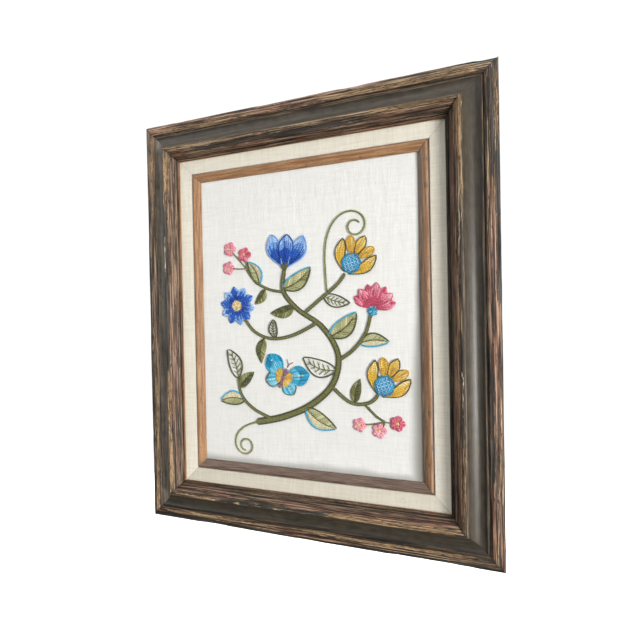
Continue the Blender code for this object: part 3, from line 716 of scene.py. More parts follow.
def barn_wood_material():
    """Weathered paint over brown wood: bare tan streaks, dark gouges and fine grain lines."""
    g = new_material("weathered_wood", "grain")
    place = g.math("DIVIDE", g.stored("inset"), SIGHT_INSET)
    rough = g.stored("rough")
    broad = g.noise(44, 3.4, 3, 0.6)
    streak = g.noise(66, 1.4, 6, 0.64)
    line = g.noise(60, 0.7, 4, 0.65)
    short = g.noise(7, 0.9, 4, 0.7)
    speck = g.noise(1.4, 1.1, 3, 0.7)

    # Wood with its rusty and orange streaks
    uneven = g.plus(g.times(g.stored("relief"), 0.07), streak)
    flame = g.math("MAXIMUM", g.step(g.noise(55, 6, 2), 0.52, 0.62, 0.0, 0.55), g.stored("flame"))
    rust = g.step(g.plus(g.stored("rust"), broad), 0.75, 1.1)
    red = g.blend(flame, g.ramp(uneven, RED_SHADES), g.ramp(uneven, ORANGE_SHADES))
    wood = g.blend(rust, g.ramp(uneven, WOOD_SHADES), red)
    # Painted light: the wood paler where the mesh marks it
    wood = g.coat(wood, g.stored("painted_light"), 0.3, "6b5c54")

    # Paint of the cove with painted shade towards the groove, rubbed and dirty
    paint = g.ramp(place, [(inset / SIGHT_INSET, code) for inset, code in COVE_PAINT_AND_SHADE])
    # Painted light: the cove's paint paler where the mesh marks it
    paint = g.blend(g.stored("painted_light"), paint, "857c71")
    rubbed = g.ramp(g.weighted(streak, 0.6, g.noise(13, 7, 3, 0.6), 0.6), RUB_SHADES)
    paint = g.blend(1.0, paint, rubbed, "MULTIPLY")
    dirt = g.step(g.plus(broad, g.times(short, 0.7)), 0.72, 0.98)
    paint = g.coat(paint, dirt, 0.4, "2a2722")

    # Both together, with the bead, painted shade in the hollows, gouges, worn places, chips, cracks and dust
    colour = g.blend(rough, paint, wood)
    bead = g.step(place, 48.2 / SIGHT_INSET, 48.9 / SIGHT_INSET)
    colour = g.blend(bead, colour, g.ramp(streak, BEAD_SHADES))
    hollow = g.ramp(place, [(inset / SIGHT_INSET, code) for inset, code in PAINTED_HOLLOW_SHADE])
    colour = g.blend(g.stored("hollow"), colour, hollow, "MULTIPLY")
    dark = g.step(g.weighted(g.stored("dark"), 0.6, short, 1.5), 0.98, 1.1)
    colour = g.coat(colour, dark, 0.93, g.blend(g.step(uneven, 0.42, 0.6), "1b1815", "4a463f"))
    bare = g.step(g.weighted(g.stored("wear"), 0.6, streak, 1.6), 1.06, 1.14)
    colour = g.coat(colour, bare, 0.95, g.ramp(g.weighted(line, 0.6, short, 0.4), GOLD_SHADES))
    flakes = g.step(g.weighted(g.stored("chip"), 0.6, short, 1.2), 1.1, 1.18)
    colour = g.coat(colour, flakes, 0.9, "e0d2b2")
    swirl = g.math("ABSOLUTE", g.math("SUBTRACT", g.noise(70, 2.6, 2, 0.5), 0.5))
    gouge = g.math("ABSOLUTE", g.math("SUBTRACT", g.noise(150, 5.5, 3, 0.55), 0.5))
    crack = g.math("MAXIMUM", g.step(swirl, 0.017, 0.005), g.step(gouge, 0.011, 0.003))
    colour = g.coat(colour, g.times(crack, rough), 0.85, "130e0b")
    colour = g.coat(colour, g.times(g.step(line, 0.46, 0.4), rough), 0.72, "15100d")
    dust = g.times(g.step(speck, 0.6, 0.72), g.step(rough, 0, 1, 0.07, 0.22))
    colour = g.blend(dust, colour, "a39c8b")

    raw = g.blend(g.step(line, 0.3, 0.7), "9c7a55", "c3a177")
    colour = g.blend(g.stored("painted"), raw, colour)
    height = g.times(g.weighted(streak, 0.7, line, 0.5), g.step(rough, 0.0, 1.0, 0.12, 1.0))
    height = g.plus(height, g.times(speck, 0.12))
    roughness = g.step(rough, 0.2, 0.8, 0.42, 0.66)
    return g.finish(colour, roughness, height, 0.0011, 0.9, Specular_IOR_Level=0.42)


def fillet_material():
    """Orange-brown stained wood with fine straight grain and a dark outer line of painted shade."""
    g = new_material("fillet_wood", "grain")
    broad = g.noise(45, 2.4, 2)
    line = g.noise(30, 0.5, 4, 0.6)
    pore = g.noise(5, 0.28, 2)
    colour = g.blend(g.step(broad, 0.35, 0.65), "916746", "b28a63")
    colour = g.coat(colour, g.step(line, 0.52, 0.38), 0.75, "684732")
    colour = g.coat(colour, g.step(pore, 0.44, 0.36), 0.6, "4a3326")
    # Darker where the mesh marks mitres, nicks, darker wood and painted shade
    dark = g.step(g.weighted(g.stored("dark"), 1.0, line, 0.6), 0.45, 1.0)
    colour = g.coat(colour, dark, 0.9, g.blend(g.step(line, 0.45, 0.6), "3a2e29", "76655b"))
    raw = g.blend(g.step(line, 0.3, 0.7), "b08c63", "cfae84")
    colour = g.blend(g.stored("painted"), raw, colour)
    height = g.plus(line, g.times(pore, 0.5))
    return g.finish(colour, 0.42, height, 0.0003, 0.7, Specular_IOR_Level=0.5)


def weave(g, position, flat, pitch):
    """Height of a plain weave in the front plane: warp and weft take turns on top."""
    split = g.parts(position)
    weft, warp = (g.math("ABSOLUTE", g.math("SINE", g.times(split[axis], math.pi / (pitch * MM))))
                  for axis in ("X", "Z"))
    checker = g.node("ShaderNodeTexChecker", {"Vector": flat, "Scale": 1 / (pitch * MM)})
    return g.node("ShaderNodeMix", {0: checker.outputs["Fac"], 2: weft, 3: warp},
                  data_type="FLOAT").outputs[0]


def linen_material(name, pale, shade, fleck, pitch, fleck_share, contrast, painted_shade_and_darkening_colour):
    """Plain-woven linen with slubs, small flecks, a soft sheen and painted shade between its threads, darker
    where the mesh marks painted shade and darkening.
    """
    g = new_material(name)
    position = g.node("ShaderNodeTexCoord").outputs["Object"]
    split = g.parts(position)
    g.surface = g.node("ShaderNodeCombineXYZ", {0: split["X"], 1: split["Z"]}).outputs[0]
    threads = weave(g, position, g.surface, pitch)
    slub = pitch * 1.5
    thick = g.plus(g.scaled_noise(position, (SLUB_LENGTH, SLUB_DEPTH, slub), Detail=2.0),
                   g.scaled_noise(position, (slub, SLUB_DEPTH, SLUB_LENGTH), Detail=2.0))
    colour = g.blend(g.step(thick, 0.72, 1.28), shade, pale)
    # The gaps between the threads are darker: painted shade in the weave
    colour = g.blend(g.step(threads, 0.45, 0.0, 0.0, contrast), colour, shade)
    spots, few = (g.node("ShaderNodeTexNoise", {"Vector": position, "Scale": scale, "Detail": 1.0})
                  for scale in (620.0, 70.0))
    flecks = g.times(g.step(spots.outputs["Fac"], 0.7, 0.78), g.step(few.outputs["Fac"], 0.5, 0.62))
    colour = g.coat(colour, flecks, fleck_share, fleck)
    # Painted shade, and darker mitres and lower linen, where the mesh marks them
    colour = g.blend(g.stored("painted_shade_and_darkening"), colour, painted_shade_and_darkening_colour)
    creases = g.times(g.noise(9, 34, 2), 5.0)
    height = g.plus(g.weighted(threads, 1.0, thick, 0.8), creases)
    return g.finish(colour, 0.88, height, 0.00022, 0.8, Specular_IOR_Level=0.15, Sheen_Weight=0.15,
                    Sheen_Roughness=0.5)


def wool_material():
    """Twisted crewel wool: two plies with painted shade between them, loose fibres and the tint of each
    stitch.
    """
    g = new_material("crewel_wool", "thread")
    split = g.parts(g.surface)
    turns = g.plus(g.times(split["X"], 2.0), g.times(split["Y"], 1 / (PLY_TURN * MM)))
    ply = g.math("SINE", g.times(turns, math.tau))
    fibre = g.noise(180, 1.1, 3, 0.65)
    # Painted shade in the grooves between the plies, with paler and darker loose fibres
    painted_ply_shade_and_fibres = g.step(g.plus(g.times(ply, 0.3), fibre), 0.2, 0.85, 0.62, 1.14)
    grey = g.node("ShaderNodeCombineColor", {0: painted_ply_shade_and_fibres, 1: painted_ply_shade_and_fibres, 2: painted_ply_shade_and_fibres}).outputs[0]
    colour = g.blend(1.0, g.stored("tint", "Color"), grey, "MULTIPLY")
    height = g.plus(g.times(ply, 0.5), fibre)
    return g.finish(colour, 0.8, height, 0.00035, 0.8, Specular_IOR_Level=0.2, Sheen_Weight=0.3,
                    Sheen_Roughness=0.4)


# Linen

def cloth_wave(x, y):
    """The stretched linen's slight unevenness, which dies out at the fillet that holds it."""
    hold = (np.clip(1 - (x / CLOTH_HALF_WIDTH) ** 4, 0, None)
            * np.clip(1 - (y / CLOTH_HALF_HEIGHT) ** 4, 0, None))
    wave = np.sin(math.tau * x / LINEN_WAVE_X + 0.8) * np.cos(math.tau * y / LINEN_WAVE_Z - 0.5)
    ripple = 0.07 * layered_noise(x / 17, y / 17, 600)
    return (LINEN_UNEVENNESS * wave + ripple) * hold


def build_linen(material):
    """The thin linen sheet with both its faces and its cut edge."""
    columns = round(2 * CLOTH_HALF_WIDTH / CLOTH_STEP)
    rows = round(2 * CLOTH_HALF_HEIGHT / CLOTH_STEP)
    x, y = np.meshgrid(np.linspace(-CLOTH_HALF_WIDTH, CLOTH_HALF_WIDTH, columns + 1),
                       np.linspace(-CLOTH_HALF_HEIGHT, CLOTH_HALF_HEIGHT, rows + 1), indexing="ij")
    front = LINEN_FRONT_HEIGHT + cloth_wave(x, y)
    layers = [np.stack([x, -front + set_back, y + CENTRE_Z], 2).reshape(-1, 3)
              for set_back in (0, CLOTH_THICKNESS)]
    count = (columns + 1) * (rows + 1)
    i, j = np.meshgrid(np.arange(columns), np.arange(rows), indexing="ij")
    corner = i * (rows + 1) + j
    quads = np.stack([corner, corner + rows + 1, corner + rows + 2, corner + 1], 2).reshape(-1, 4)
    low = np.arange(columns + 1) * (rows + 1)
    rim = np.concatenate([low, low[-1] + np.arange(1, rows + 1), low[-2::-1] + rows,
                          np.arange(rows - 1, 0, -1)])
    following = np.roll(rim, -1)
    edge = np.stack([rim, rim + count, following + count, following], 1)
    mesh = mesh_from_arrays("linen", np.concatenate(layers) * MM, [quads, quads[:, ::-1] + count, edge])
    mesh.set_sharp_from_angle(angle=SHARP_ANGLE)

    # Painted shade beside the fillet on the right and at the bottom, and the linen a little darker all over,
    # more so towards the bottom
    from_right = HALF_WIDTH - FILLET_SIGHT_INSET - x
    from_bottom = y + HALF_HEIGHT - FILLET_SIGHT_INSET
    reach = 14 - 11 * ramp(y, -150, 120) + 2 * line_noise(y / 30, 610)
    right = 0.92 * (1 - ramp(from_right, 0.1 * reach, 1.3 * reach))
    bottom = 0.62 * (1 - ramp(from_bottom, 0, 11 + 4 * line_noise(x / 22, 611)))
    darker_below = 0.03 + 0.06 * (1 - ramp(y, -150, 60))
    painted_shade_and_darkening = np.maximum(np.maximum(right, bottom), darker_below)
    put_values(mesh, "painted_shade_and_darkening", np.tile(painted_shade_and_darkening.ravel(), 2))
    return add_piece("linen_cloth", mesh, material, "linen_panel")


# Yarn

class Skein:
    """The stitches of one piece, gathered as centre lines and then built as tubes in one mesh."""

    def __init__(self):
        self.lines = {}

    def lay(self, points, rises, radius, colour):
        """Adds one stitch: its route on the linen, its rise at each point, its radius and its colour."""
        tone = 1 + rng.normal(0, YARN_TONE_SPREAD)
        tint = np.clip(WOOL[colour] * tone, 0, 1)
        line = np.column_stack([points, rises])
        self.lines.setdefault(len(line), []).append((line, radius, tint))

    def build(self, name, material):
        """The piece: for each number of points, all its stitches at once."""
        places, quads, caps, uvs, tints, start = [], [], [], [], [], 0
        around = np.arange(YARN_SIDES)
        turn = around * math.tau / YARN_SIDES
        for count, stitches in sorted(self.lines.items()):
            line = np.array([s[0] for s in stitches])
            line[:, :, 2] += cloth_wave(line[:, :, 0], line[:, :, 1])
            many = len(stitches)
            radius = np.array([s[1] for s in stitches])[:, None] * np.ones(count)
            radius[:, [0, -1]] *= END_TAPER
            tangent = unit(np.gradient(line, axis=1))
            side = unit(np.cross(tangent, (0, 0, 1)))
            up = np.cross(side, tangent)
            circle = side[:, :, None] * np.cos(turn)[:, None] + up[:, :, None] * np.sin(turn)[:, None]
            ring = line[:, :, None] + circle * radius[:, :, None, None]
            places.append(ring.reshape(-1, 3))
            tints.append(np.repeat(np.array([s[2] for s in stitches]), count * YARN_SIDES, 0))
            m, i, k = np.meshgrid(np.arange(many), np.arange(count - 1), around, indexing="ij")
            base = start + (m * count + i) * YARN_SIDES
            after = (k + 1) % YARN_SIDES
            quads.append(np.stack([base + k, base + YARN_SIDES + k, base + YARN_SIDES + after,
                                   base + after], 3).reshape(-1, 4))
            run = np.linalg.norm(np.diff(line, axis=1), axis=2)
            arc = np.concatenate([np.zeros((many, 1)), np.cumsum(run, 1)], 1) * MM
            arc = arc + rng.random((many, 1))
            u0, u1 = k / YARN_SIDES, (k + 1) / YARN_SIDES
            uvs.append(np.stack([u0, arc[m, i], u0, arc[m, i + 1], u1, arc[m, i + 1], u1, arc[m, i]],
                                3).reshape(-1, 2))
            first = start + np.arange(many) * count * YARN_SIDES
            last = first + (count - 1) * YARN_SIDES
            caps += [first[:, None] + around, last[:, None] + around[::-1]]
            start += many * count * YARN_SIDES
        place = np.concatenate(places)
        points = np.stack([place[:, 0], -(LINEN_FRONT_HEIGHT + place[:, 2]), place[:, 1] + CENTRE_Z], 1) * MM
        caps = np.concatenate(caps)
        mesh = mesh_from_arrays(name, points, [np.concatenate(quads), caps])
        tint = np.column_stack([np.concatenate(tints), np.ones(len(points))])
        put_values(mesh, "tint", tint, "FLOAT_COLOR", "color")
        put_uv(mesh, "thread", np.concatenate([*uvs, np.zeros((caps.size, 2))]))
        return add_piece(name, mesh, material)


def pick(colours):
    """One of the colours by chance."""
    return colours[rng.integers(len(colours))]


def pointing(turn):
    """The unit vector at an angle in radians."""
    return np.array([math.cos(turn), math.sin(turn)])


def left_of(way):
    """A direction turned a quarter to the left."""
    return np.array([-way[1], way[0]])


def stitch(skein, place, length, colour, lift=0.0, crown=0.15, radius=YARN_RADIUS):
    """One stitch along place(t) for t from 0 to 1: down through the linen at both ends."""
    dip = min(END_SHARE, END_RUN / max(length, 1e-6))
    t = np.array([0, dip, 0.36, 0.64, 1 - dip, 1])
    top = radius + lift
    shoulder = SHOULDER_SHARE * top
    rises = np.array([-END_SINK, shoulder, top + crown, top + crown, shoulder, -END_SINK])
    skein.lay(place(t[:, None]), rises, radius, colour)


def straight(skein, start, end, colour, **how):
    """A straight stitch between two points, each a pair of numbers."""
    start, end = np.array(start, float), np.array(end, float)
    stitch(skein, lambda t: start + (end - start) * t, np.linalg.norm(end - start), colour, **how)


def speck(skein, middle, half, turn, colour, **how):
    """A short straight stitch centred on a point."""
    arm = half * pointing(turn)
    straight(skein, middle - arm, middle + arm, colour, crown=0.05, **how)


def smooth_route(points, step=1.0):
    """Points about a step apart on a smooth curve through the given ones."""
    padded = np.array([points[0], *points, points[-1]], float)
    route = []
    for i in range(len(points) - 1):
        before, start, end, after = padded[i:i + 4]
        count = max(2, round(np.linalg.norm(end - start) / step))
        t = np.linspace(0, 1, count + 1)[:-1, None]
        route.append(cubic(t, start, start + (end - before) / 6, end - (after - start) / 6, end))
    return np.concatenate([*route, padded[-1:]])


def stem_stitch(skein, route, colours, offset=0.0, lift=0.0, radius=LINE_RADIUS, reach=3.8, advance=1.9):
    """A rope-like row of slanting stitches that overlap by half, beside a route."""
    run = unit(np.gradient(route, axis=0))
    normal = np.column_stack([-run[:, 1], run[:, 0]])
    arc = distances(route)
    beside = np.broadcast_to(offset, len(route))

    def place_at(s, lean):
        columns = [np.interp(s, arc, route[:, k] + normal[:, k] * beside) for k in (0, 1)]
        across = [np.interp(s, arc, normal[:, k]) for k in (0, 1)]
        return np.column_stack([columns[k] + across[k] * lean for k in (0, 1)])

    for k in range(max(1, round((arc[-1] - reach / 2) / advance))):
        begin = k * advance + rng.uniform(-0.15, 0.15)
        end = min(begin + reach, arc[-1])
        begin = max(0.0, begin)
        stitch(skein, lambda t: place_at(begin + (end - begin) * t[:, 0], (t[:, 0] - 0.5) * 2 * STEM_SLANT),
               end - begin, colours[k % len(colours)], lift=lift, crown=STEM_CROWN, radius=radius)


def half_width(lobe, t):
    """Half width of a leaf or petal at a share of its length."""
    return lobe.width / 2 * np.clip(np.sin(np.pi * np.asarray(t, float) ** lobe.fullness), 0, None) ** 0.8


def lobe_place(lobe, t, beside):
    """The point at a share of the lobe's length and a distance to the left of its middle line."""
    t = np.asarray(t, float)
    turn = math.radians(lobe.heading)
    along = t * lobe.length
    across = lobe.bend * np.sin(np.pi * t) + beside
    return np.stack(np.broadcast_arrays(lobe.x + along * math.cos(turn) - across * math.sin(turn),
                                        lobe.y + along * math.sin(turn) + across * math.cos(turn)), -1)


def head_lobes(head):
    """The petals of a flower head, placed on the linen."""
    turn = math.radians(head.heading - 90)
    return [Lobe(head.x + p.x * math.cos(turn) - p.y * math.sin(turn),
                 head.y + p.x * math.sin(turn) + p.y * math.cos(turn),
                 head.heading + p.turn, p.length, p.width, p.bend, PETAL_FULLNESS) for p in head.petals]


def widest_at(lobe):
    """The share of its length at which a lobe is widest."""
    return 0.5 ** (1 / lobe.fullness)


def lane(lobe, offset):
    """A route up a petal that keeps its distance from the middle and draws in at the base."""
    widest = widest_at(lobe)

    def place(t):
        narrowing = np.where(t < widest, half_width(lobe, np.minimum(t, widest)) / (lobe.width / 2), 1.0)
        return lobe_place(lobe, t, offset * narrowing)

    return place


def lane_reach(lobe, offset):
    """The share of the length at which a lane meets the petal's outer edge."""
    t = np.linspace(widest_at(lobe), 1, 90)
    return float(np.interp(-abs(offset), -half_width(lobe, t), t))


def long_and_short(skein, lobe, rows, lift=0.3, start=0.03):
    """Fills a petal with rows of stitches from its base outwards.

    Each row has the shares of the length where it starts and ends, and its colours.
    """
    half = lobe.width / 2
    for low, high, colours in rows:
        spread = float(half_width(lobe, min((low + high) / 2, widest_at(lobe))))
        count = max(2, round(2 * (spread - 0.3 * YARN_PITCH) / YARN_PITCH))
        for i in range(count):
            offset = (-1 + 2 * (i + 0.5) / count) * (half - PETAL_EDGE)
            reach = lane_reach(lobe, offset) - start
            begin = start + reach * (low + (rng.uniform(-0.07, 0.05) if low > 0 else 0))
            end = start + reach * (high + (rng.uniform(-0.06, 0.08) if high < 1 else 0))
            route = lane(lobe, offset + rng.uniform(-0.1, 0.1))
            colour = pick(colours)
            stitch(skein, lambda t: route(begin + (end - begin) * t[:, 0]), (end - begin) * lobe.length,
                   colour, lift=lift + rng.uniform(0, 0.1), crown=STEM_CROWN)


def edging(skein, lobe, side, colours, lift=0.25, radius=LINE_RADIUS):
    """Stem stitch along one edge of a lobe, from its base to its tip."""
    t = np.linspace(0.0, 1.0, 41)
    route = lobe_place(lobe, t, side * np.maximum(half_width(lobe, t) - LINE_EDGE, 0))
    stem_stitch(skein, route, colours, lift=lift, radius=radius)


def outline(skein, lobe, colours, lift=0.25, radius=LINE_RADIUS):
    """Stem stitch round both edges of a lobe, meeting at the tip."""
    for side in (-1, 1):
        edging(skein, lobe, side, colours, lift, radius)


def slanting_fill(skein, lobe, side, colours, slant=0.2, inner=0.0, lift=0.0):
    """Satin stitches that lean forwards from the midrib to one edge."""
    count = round(lobe.length * 0.96 / YARN_PITCH)
    for i in range(count):
        t = 0.01 + 0.9 * i / count
        end = min(0.985, t + slant * (1 - 0.55 * t) + rng.uniform(-0.006, 0.006))
        near = lobe_place(lobe, t, side * inner)
        far = lobe_place(lobe, end, side * max(float(half_width(lobe, end)) - LEAF_EDGE, 0.2))
        colour = pick(colours)
        straight(skein, near, far, colour, lift=lift + rng.uniform(0, 0.08), crown=0.2)


def midrib(skein, lobe, colours, high=0.93, lift=0.35, radius=YARN_RADIUS * 0.8):
    """Stem stitch up the middle of a lobe."""
    route = lobe_place(lobe, np.linspace(0.0, high, 30), 0.0)
    stem_stitch(skein, route, colours, lift=lift, radius=radius, reach=3.6)


def fishbone_leaf(skein, lobe):
    """A solid leaf in two greens that meet on its midrib."""
    slanting_fill(skein, lobe, 1, ("olive", "olive", "sage"), inner=-0.3)
    slanting_fill(skein, lobe, -1, ("moss", "olive", "moss"), inner=-0.3)
    midrib(skein, lobe, ("moss",), high=0.9)


def veined_leaf(skein, lobe):
    """An open leaf: a dark outline, a midrib, side veins and pale specks on bare linen."""
    outline(skein, lobe, ("moss",), lift=0.1)
    midrib(skein, lobe, ("olive",), high=0.85, lift=0.1)
    for k in range(5):
        t = 0.16 + 0.14 * k
        for side in (-1, 1):
            reach = float(half_width(lobe, t + 0.12)) * 0.68
            straight(skein, lobe_place(lobe, t, 0), lobe_place(lobe, t + 0.12, side * reach),
                     "olive", lift=0.05, crown=0.08, radius=YARN_RADIUS * 0.85)
    remaining = round(lobe.length * 0.7)
    while remaining:
        t, beside = rng.uniform(0.12, 0.86), rng.uniform(-1, 1)
        if abs(beside) >= 0.2:
            middle = lobe_place(lobe, t, beside * float(half_width(lobe, t)) * 0.74)
            speck(skein, middle, 0.9, rng.uniform(0, math.pi), "celery", radius=YARN_RADIUS * 0.62)
            remaining -= 1


def half_leaf(skein, lobe):
    """One side solid sage, the other with cream bars inside a turquoise edge."""
    slanting_fill(skein, lobe, 1, ("sage", "sage", "celery"), inner=-0.2)
    edging(skein, lobe, 1, ("moss",))
    bars = round(lobe.length / BAR_PITCH)
    for k in range(bars):
        t = 0.05 + 0.85 * (k + 0.5) / bars
        width = float(half_width(lobe, t))
        straight(skein, lobe_place(lobe, t, -0.35), lobe_place(lobe, t + 0.02, -max(width - 0.7, 0.5)),
                 "cream" if k % 3 else "straw", lift=0.05, radius=YARN_RADIUS * 0.85)
    edging(skein, lobe, -1, ("turquoise",))
    midrib(skein, lobe, ("olive", "moss"), high=0.95, lift=0.3)


def edged_leaf(skein, lobe):
    """A leaf filled with pale green that shows specks of straw, with one turquoise edge."""
    slanting_fill(skein, lobe, 1, ("sage", "celery", "sage", "straw"), slant=0.26)
    slanting_fill(skein, lobe, -1, ("sage", "olive", "sage"), slant=0.26)
    edging(skein, lobe, 1, ("turquoise",), lift=0.3)
    edging(skein, lobe, -1, ("moss",), lift=0.3)
    for _ in range(round(lobe.length * 0.8)):
        t, beside = rng.uniform(0.12, 0.85), rng.uniform(-0.75, 0.75)
        middle = lobe_place(lobe, t, beside * float(half_width(lobe, t)))
        turn = math.radians(lobe.heading) + rng.uniform(-0.4, 0.4)
        speck(skein, middle, 0.8, turn, "straw", lift=0.62, radius=YARN_RADIUS * 0.6)
    midrib(skein, lobe, ("moss",), high=0.9, lift=0.55, radius=YARN_RADIUS * 0.65)


LEAF_STYLES = {"fishbone": fishbone_leaf, "veined": veined_leaf, "half": half_leaf, "edged": edged_leaf}


def french_knot(skein, place, colour, lift=0.0, size=1.0):
    """Yarn wound one and a half times round the needle, which leaves a small dimpled bead."""
    steps = np.linspace(0, 1, 11)
    angle = rng.uniform(0, math.tau) + steps * math.tau * KNOT_TURNS
    wound = size * (0.62 - 0.3 * steps)
    points = np.column_stack([place[0] + wound * np.cos(angle), place[1] + wound * np.sin(angle)])
    rises = lift + 0.25 + 0.6 * size * steps
    rises[-1] = lift + 0.35
    skein.lay(points, rises, YARN_RADIUS * 0.85 * size, colour)


def knot_patch(skein, x, y, radius, colours, lift=0.0, spacing=KNOT_SPACING, dome=0.5):
    """A round patch of French knots, set in a spiral of even density."""
    count = round((radius / spacing * 2) ** 2 * 0.86)
    for k in range(count):
        share = math.sqrt((k + 0.5) / count)
        angle = k * math.pi * GOLDEN_SHARE
        reach = (radius - KNOT_RIM) * share
        colour = pick(colours)
        french_knot(skein, (x + reach * math.cos(angle), y + reach * math.sin(angle)), colour,
                    lift=lift + dome * (1 - share * share))


def sew_stems(skein):
    """Each stem is a bundle of stem-stitch rows, darker at its edges."""
    for stem in STEMS:
        route = smooth_route(stem.points)
        width = np.linspace(stem.width_start, stem.width_end, len(route))
        rows = max(2, round(stem.width_start / STEM_ROW_PITCH))
        raised = 0.0 if stem is STEMS[0] else 0.08
        for row in range(rows):
            share = (row + 0.5) / rows * 2 - 1
            cut = round(abs(share) * stem.width_start * 0.6)
            stem_stitch(skein, route[cut:], ("moss" if abs(share) > 0.6 else "olive",),
                        offset=share * (width[cut:] / 2 - 0.4), lift=0.45 * (1 - share * share) + raised,
                        radius=YARN_RADIUS, reach=5.4, advance=2.7)
    for x, y, _ in BERRIES:
        joint = (BERRY_STEM_LEFT if x < 0 else BERRY_STEM_RIGHT).points[-1]
        middle = ((x + joint[0]) / 2 + 0.8, (y + joint[1]) / 2 - 0.6)
        stem_stitch(skein, smooth_route([joint, middle, (x, y)]), ("olive",))


def sew_tendrils(skein):
    """Thin curling rows whose curve tightens towards the end."""
    for tendril in TENDRILS:
        steps = np.linspace(0, 1, 150)
        heading = np.radians(tendril.heading + tendril.turn * steps ** tendril.tightening)
        stride = tendril.length / len(steps)
        route = np.column_stack([tendril.x + np.cumsum(np.cos(heading)) * stride,
                                 tendril.y + np.cumsum(np.sin(heading)) * stride])
        for offset, shade in ((-0.45, "olive"), (0.45, "sage")):
            stem_stitch(skein, route, (shade,), offset=offset, radius=LINE_RADIUS * 0.85,
                        reach=3.6, advance=1.8)


def sew_leaves(skein, leaves):
    """The given leaves, each in its own style."""
    for style, lobe in leaves:
        LEAF_STYLES[style](skein, lobe)


def sew_tulip(skein):
    """Three cobalt petals that pale to their tips, the middle one on top."""
    rows = ((0.0, 0.34, ("cobalt",)), (0.26, 0.62, ("royal", "royal", "cobalt")),
            (0.54, 0.84, ("sky", "royal", "sky")), (0.76, 1.0, ("ice", "sky", "ice")))
    looks = ((0.15, ("sky",), 0.3), (0.15, ("sky",), 0.3), (0.7, ("cobalt", "royal"), 0.9))
    for lobe, (lift, shades, line_lift) in zip(head_lobes(TULIP), looks):
        long_and_short(skein, lobe, rows, lift=lift)
        outline(skein, lobe, shades, lift=line_lift)
    base = np.array([TULIP.x, TULIP.y])
    forwards = pointing(math.radians(TULIP.heading))
    left = left_of(forwards)
    for k in range(9):
        share = (k - 4) / 4
        straight(skein, base - forwards * 2.5 + left * share * 1.6,
                 base + forwards * (7.5 - 2.5 * abs(share)) + left * share * 4.6,
                 "olive" if k % 2 else "moss", lift=1.0, crown=0.25)


def sew_aster(skein):
    """Ten blue petals round a straw centre of knots."""
    for number, lobe in enumerate(head_lobes(ASTER)):
        tips = ("sky", "ice") if number % 2 else ("royal", "sky")
        rows = ((0.2, 0.6, ("cobalt", "cobalt", "royal")), (0.5, 0.82, ("royal", tips[0])), (0.74, 1.0, tips))
        long_and_short(skein, lobe, rows, lift=0.1 + 0.28 * (number % 2))
    knot_patch(skein, ASTER.x, ASTER.y, ASTER_RADIUS, ("straw", "gold", "straw", "cream"), lift=0.35)


def sew_carnation(skein):
    """Seven rose petals with paler tips above a turquoise cup of knots."""
    for number, lobe in enumerate(head_lobes(CARNATION)):
        tips = ("pink", "blush") if number % 2 else ("pink", "rose")
        rows = ((0.12, 0.55, ("rose",)), (0.46, 0.8, ("rose", "pink")), (0.72, 1.0, tips))
        long_and_short(skein, lobe, rows, lift=0.1 + 0.3 * (number % 2))
        if number % 2:
            outline(skein, lobe, ("rose",), lift=0.55, radius=YARN_RADIUS * 0.7)
    knot_patch(skein, *CARNATION_CUP, CARNATION_RADIUS, ("turquoise", "aqua", "teal"), lift=0.4)


def sew_chord(skein, centre, way, beside, rim, colour, **how):
    """A stitch right across a disc whose rim lies that far out, at a distance beside its centre."""
    middle = centre + left_of(way) * beside
    reach = way * math.sqrt(max(rim ** 2 - beside ** 2, 0.0))
    straight(skein, middle - reach, middle + reach, colour, **how)


def sew_fruit(skein, head):
    """A round fruit of laid turquoise under a pale trellis, with gold petals and a crown."""
    big = ((0.0, 0.4, ("honey", "gold")), (0.3, 0.75, ("gold",)), (0.66, 1.0, ("straw", "gold")))
    small = ((0.1, 0.6, ("honey", "gold")), (0.5, 1.0, ("gold", "straw", "gold")))
    for number, lobe in enumerate(head_lobes(head)):
        long_and_short(skein, lobe, big if number < 2 else small, lift=0.42 if number == 4 else 0.12)
        outline(skein, lobe, ("honey",) if number in (2, 3) else ("moss",), lift=0.45, radius=YARN_RADIUS)
    centre = np.array([head.x, head.y], float)
    forwards = pointing(math.radians(head.heading))
    left = left_of(forwards)
    count = round(2 * FRUIT_RADIUS / YARN_PITCH)
    for i in range(count):
        offset = (-1 + 2 * (i + 0.5) / count) * (FRUIT_RADIUS - 0.3)
        sew_chord(skein, centre, forwards, offset, FRUIT_RADIUS, "turquoise", lift=0.55, crown=0.35)
    for lean in (-1, 1):
        for k in range(-2, 3):
            sew_chord(skein, centre, (forwards + lean * left) / math.sqrt(2), k * TRELLIS_STEP,
                      FRUIT_RADIUS - 0.4, "ice", lift=1.25, crown=0.3, radius=YARN_RADIUS * 0.85)
    for i in range(-2, 3):
        for j in range(-2, 3):
            along = ((forwards + left) * i + (forwards - left) * j) / math.sqrt(2) * TRELLIS_STEP
            if np.linalg.norm(along) < FRUIT_RADIUS - 1.2:
                french_knot(skein, centre + along, "teal", lift=1.5, size=0.9)
    angle = np.linspace(0, math.tau, 60)
    rim = centre + (FRUIT_RADIUS - 0.1) * np.column_stack([np.cos(angle), np.sin(angle)])
    stem_stitch(skein, rim, ("teal",), lift=0.85)


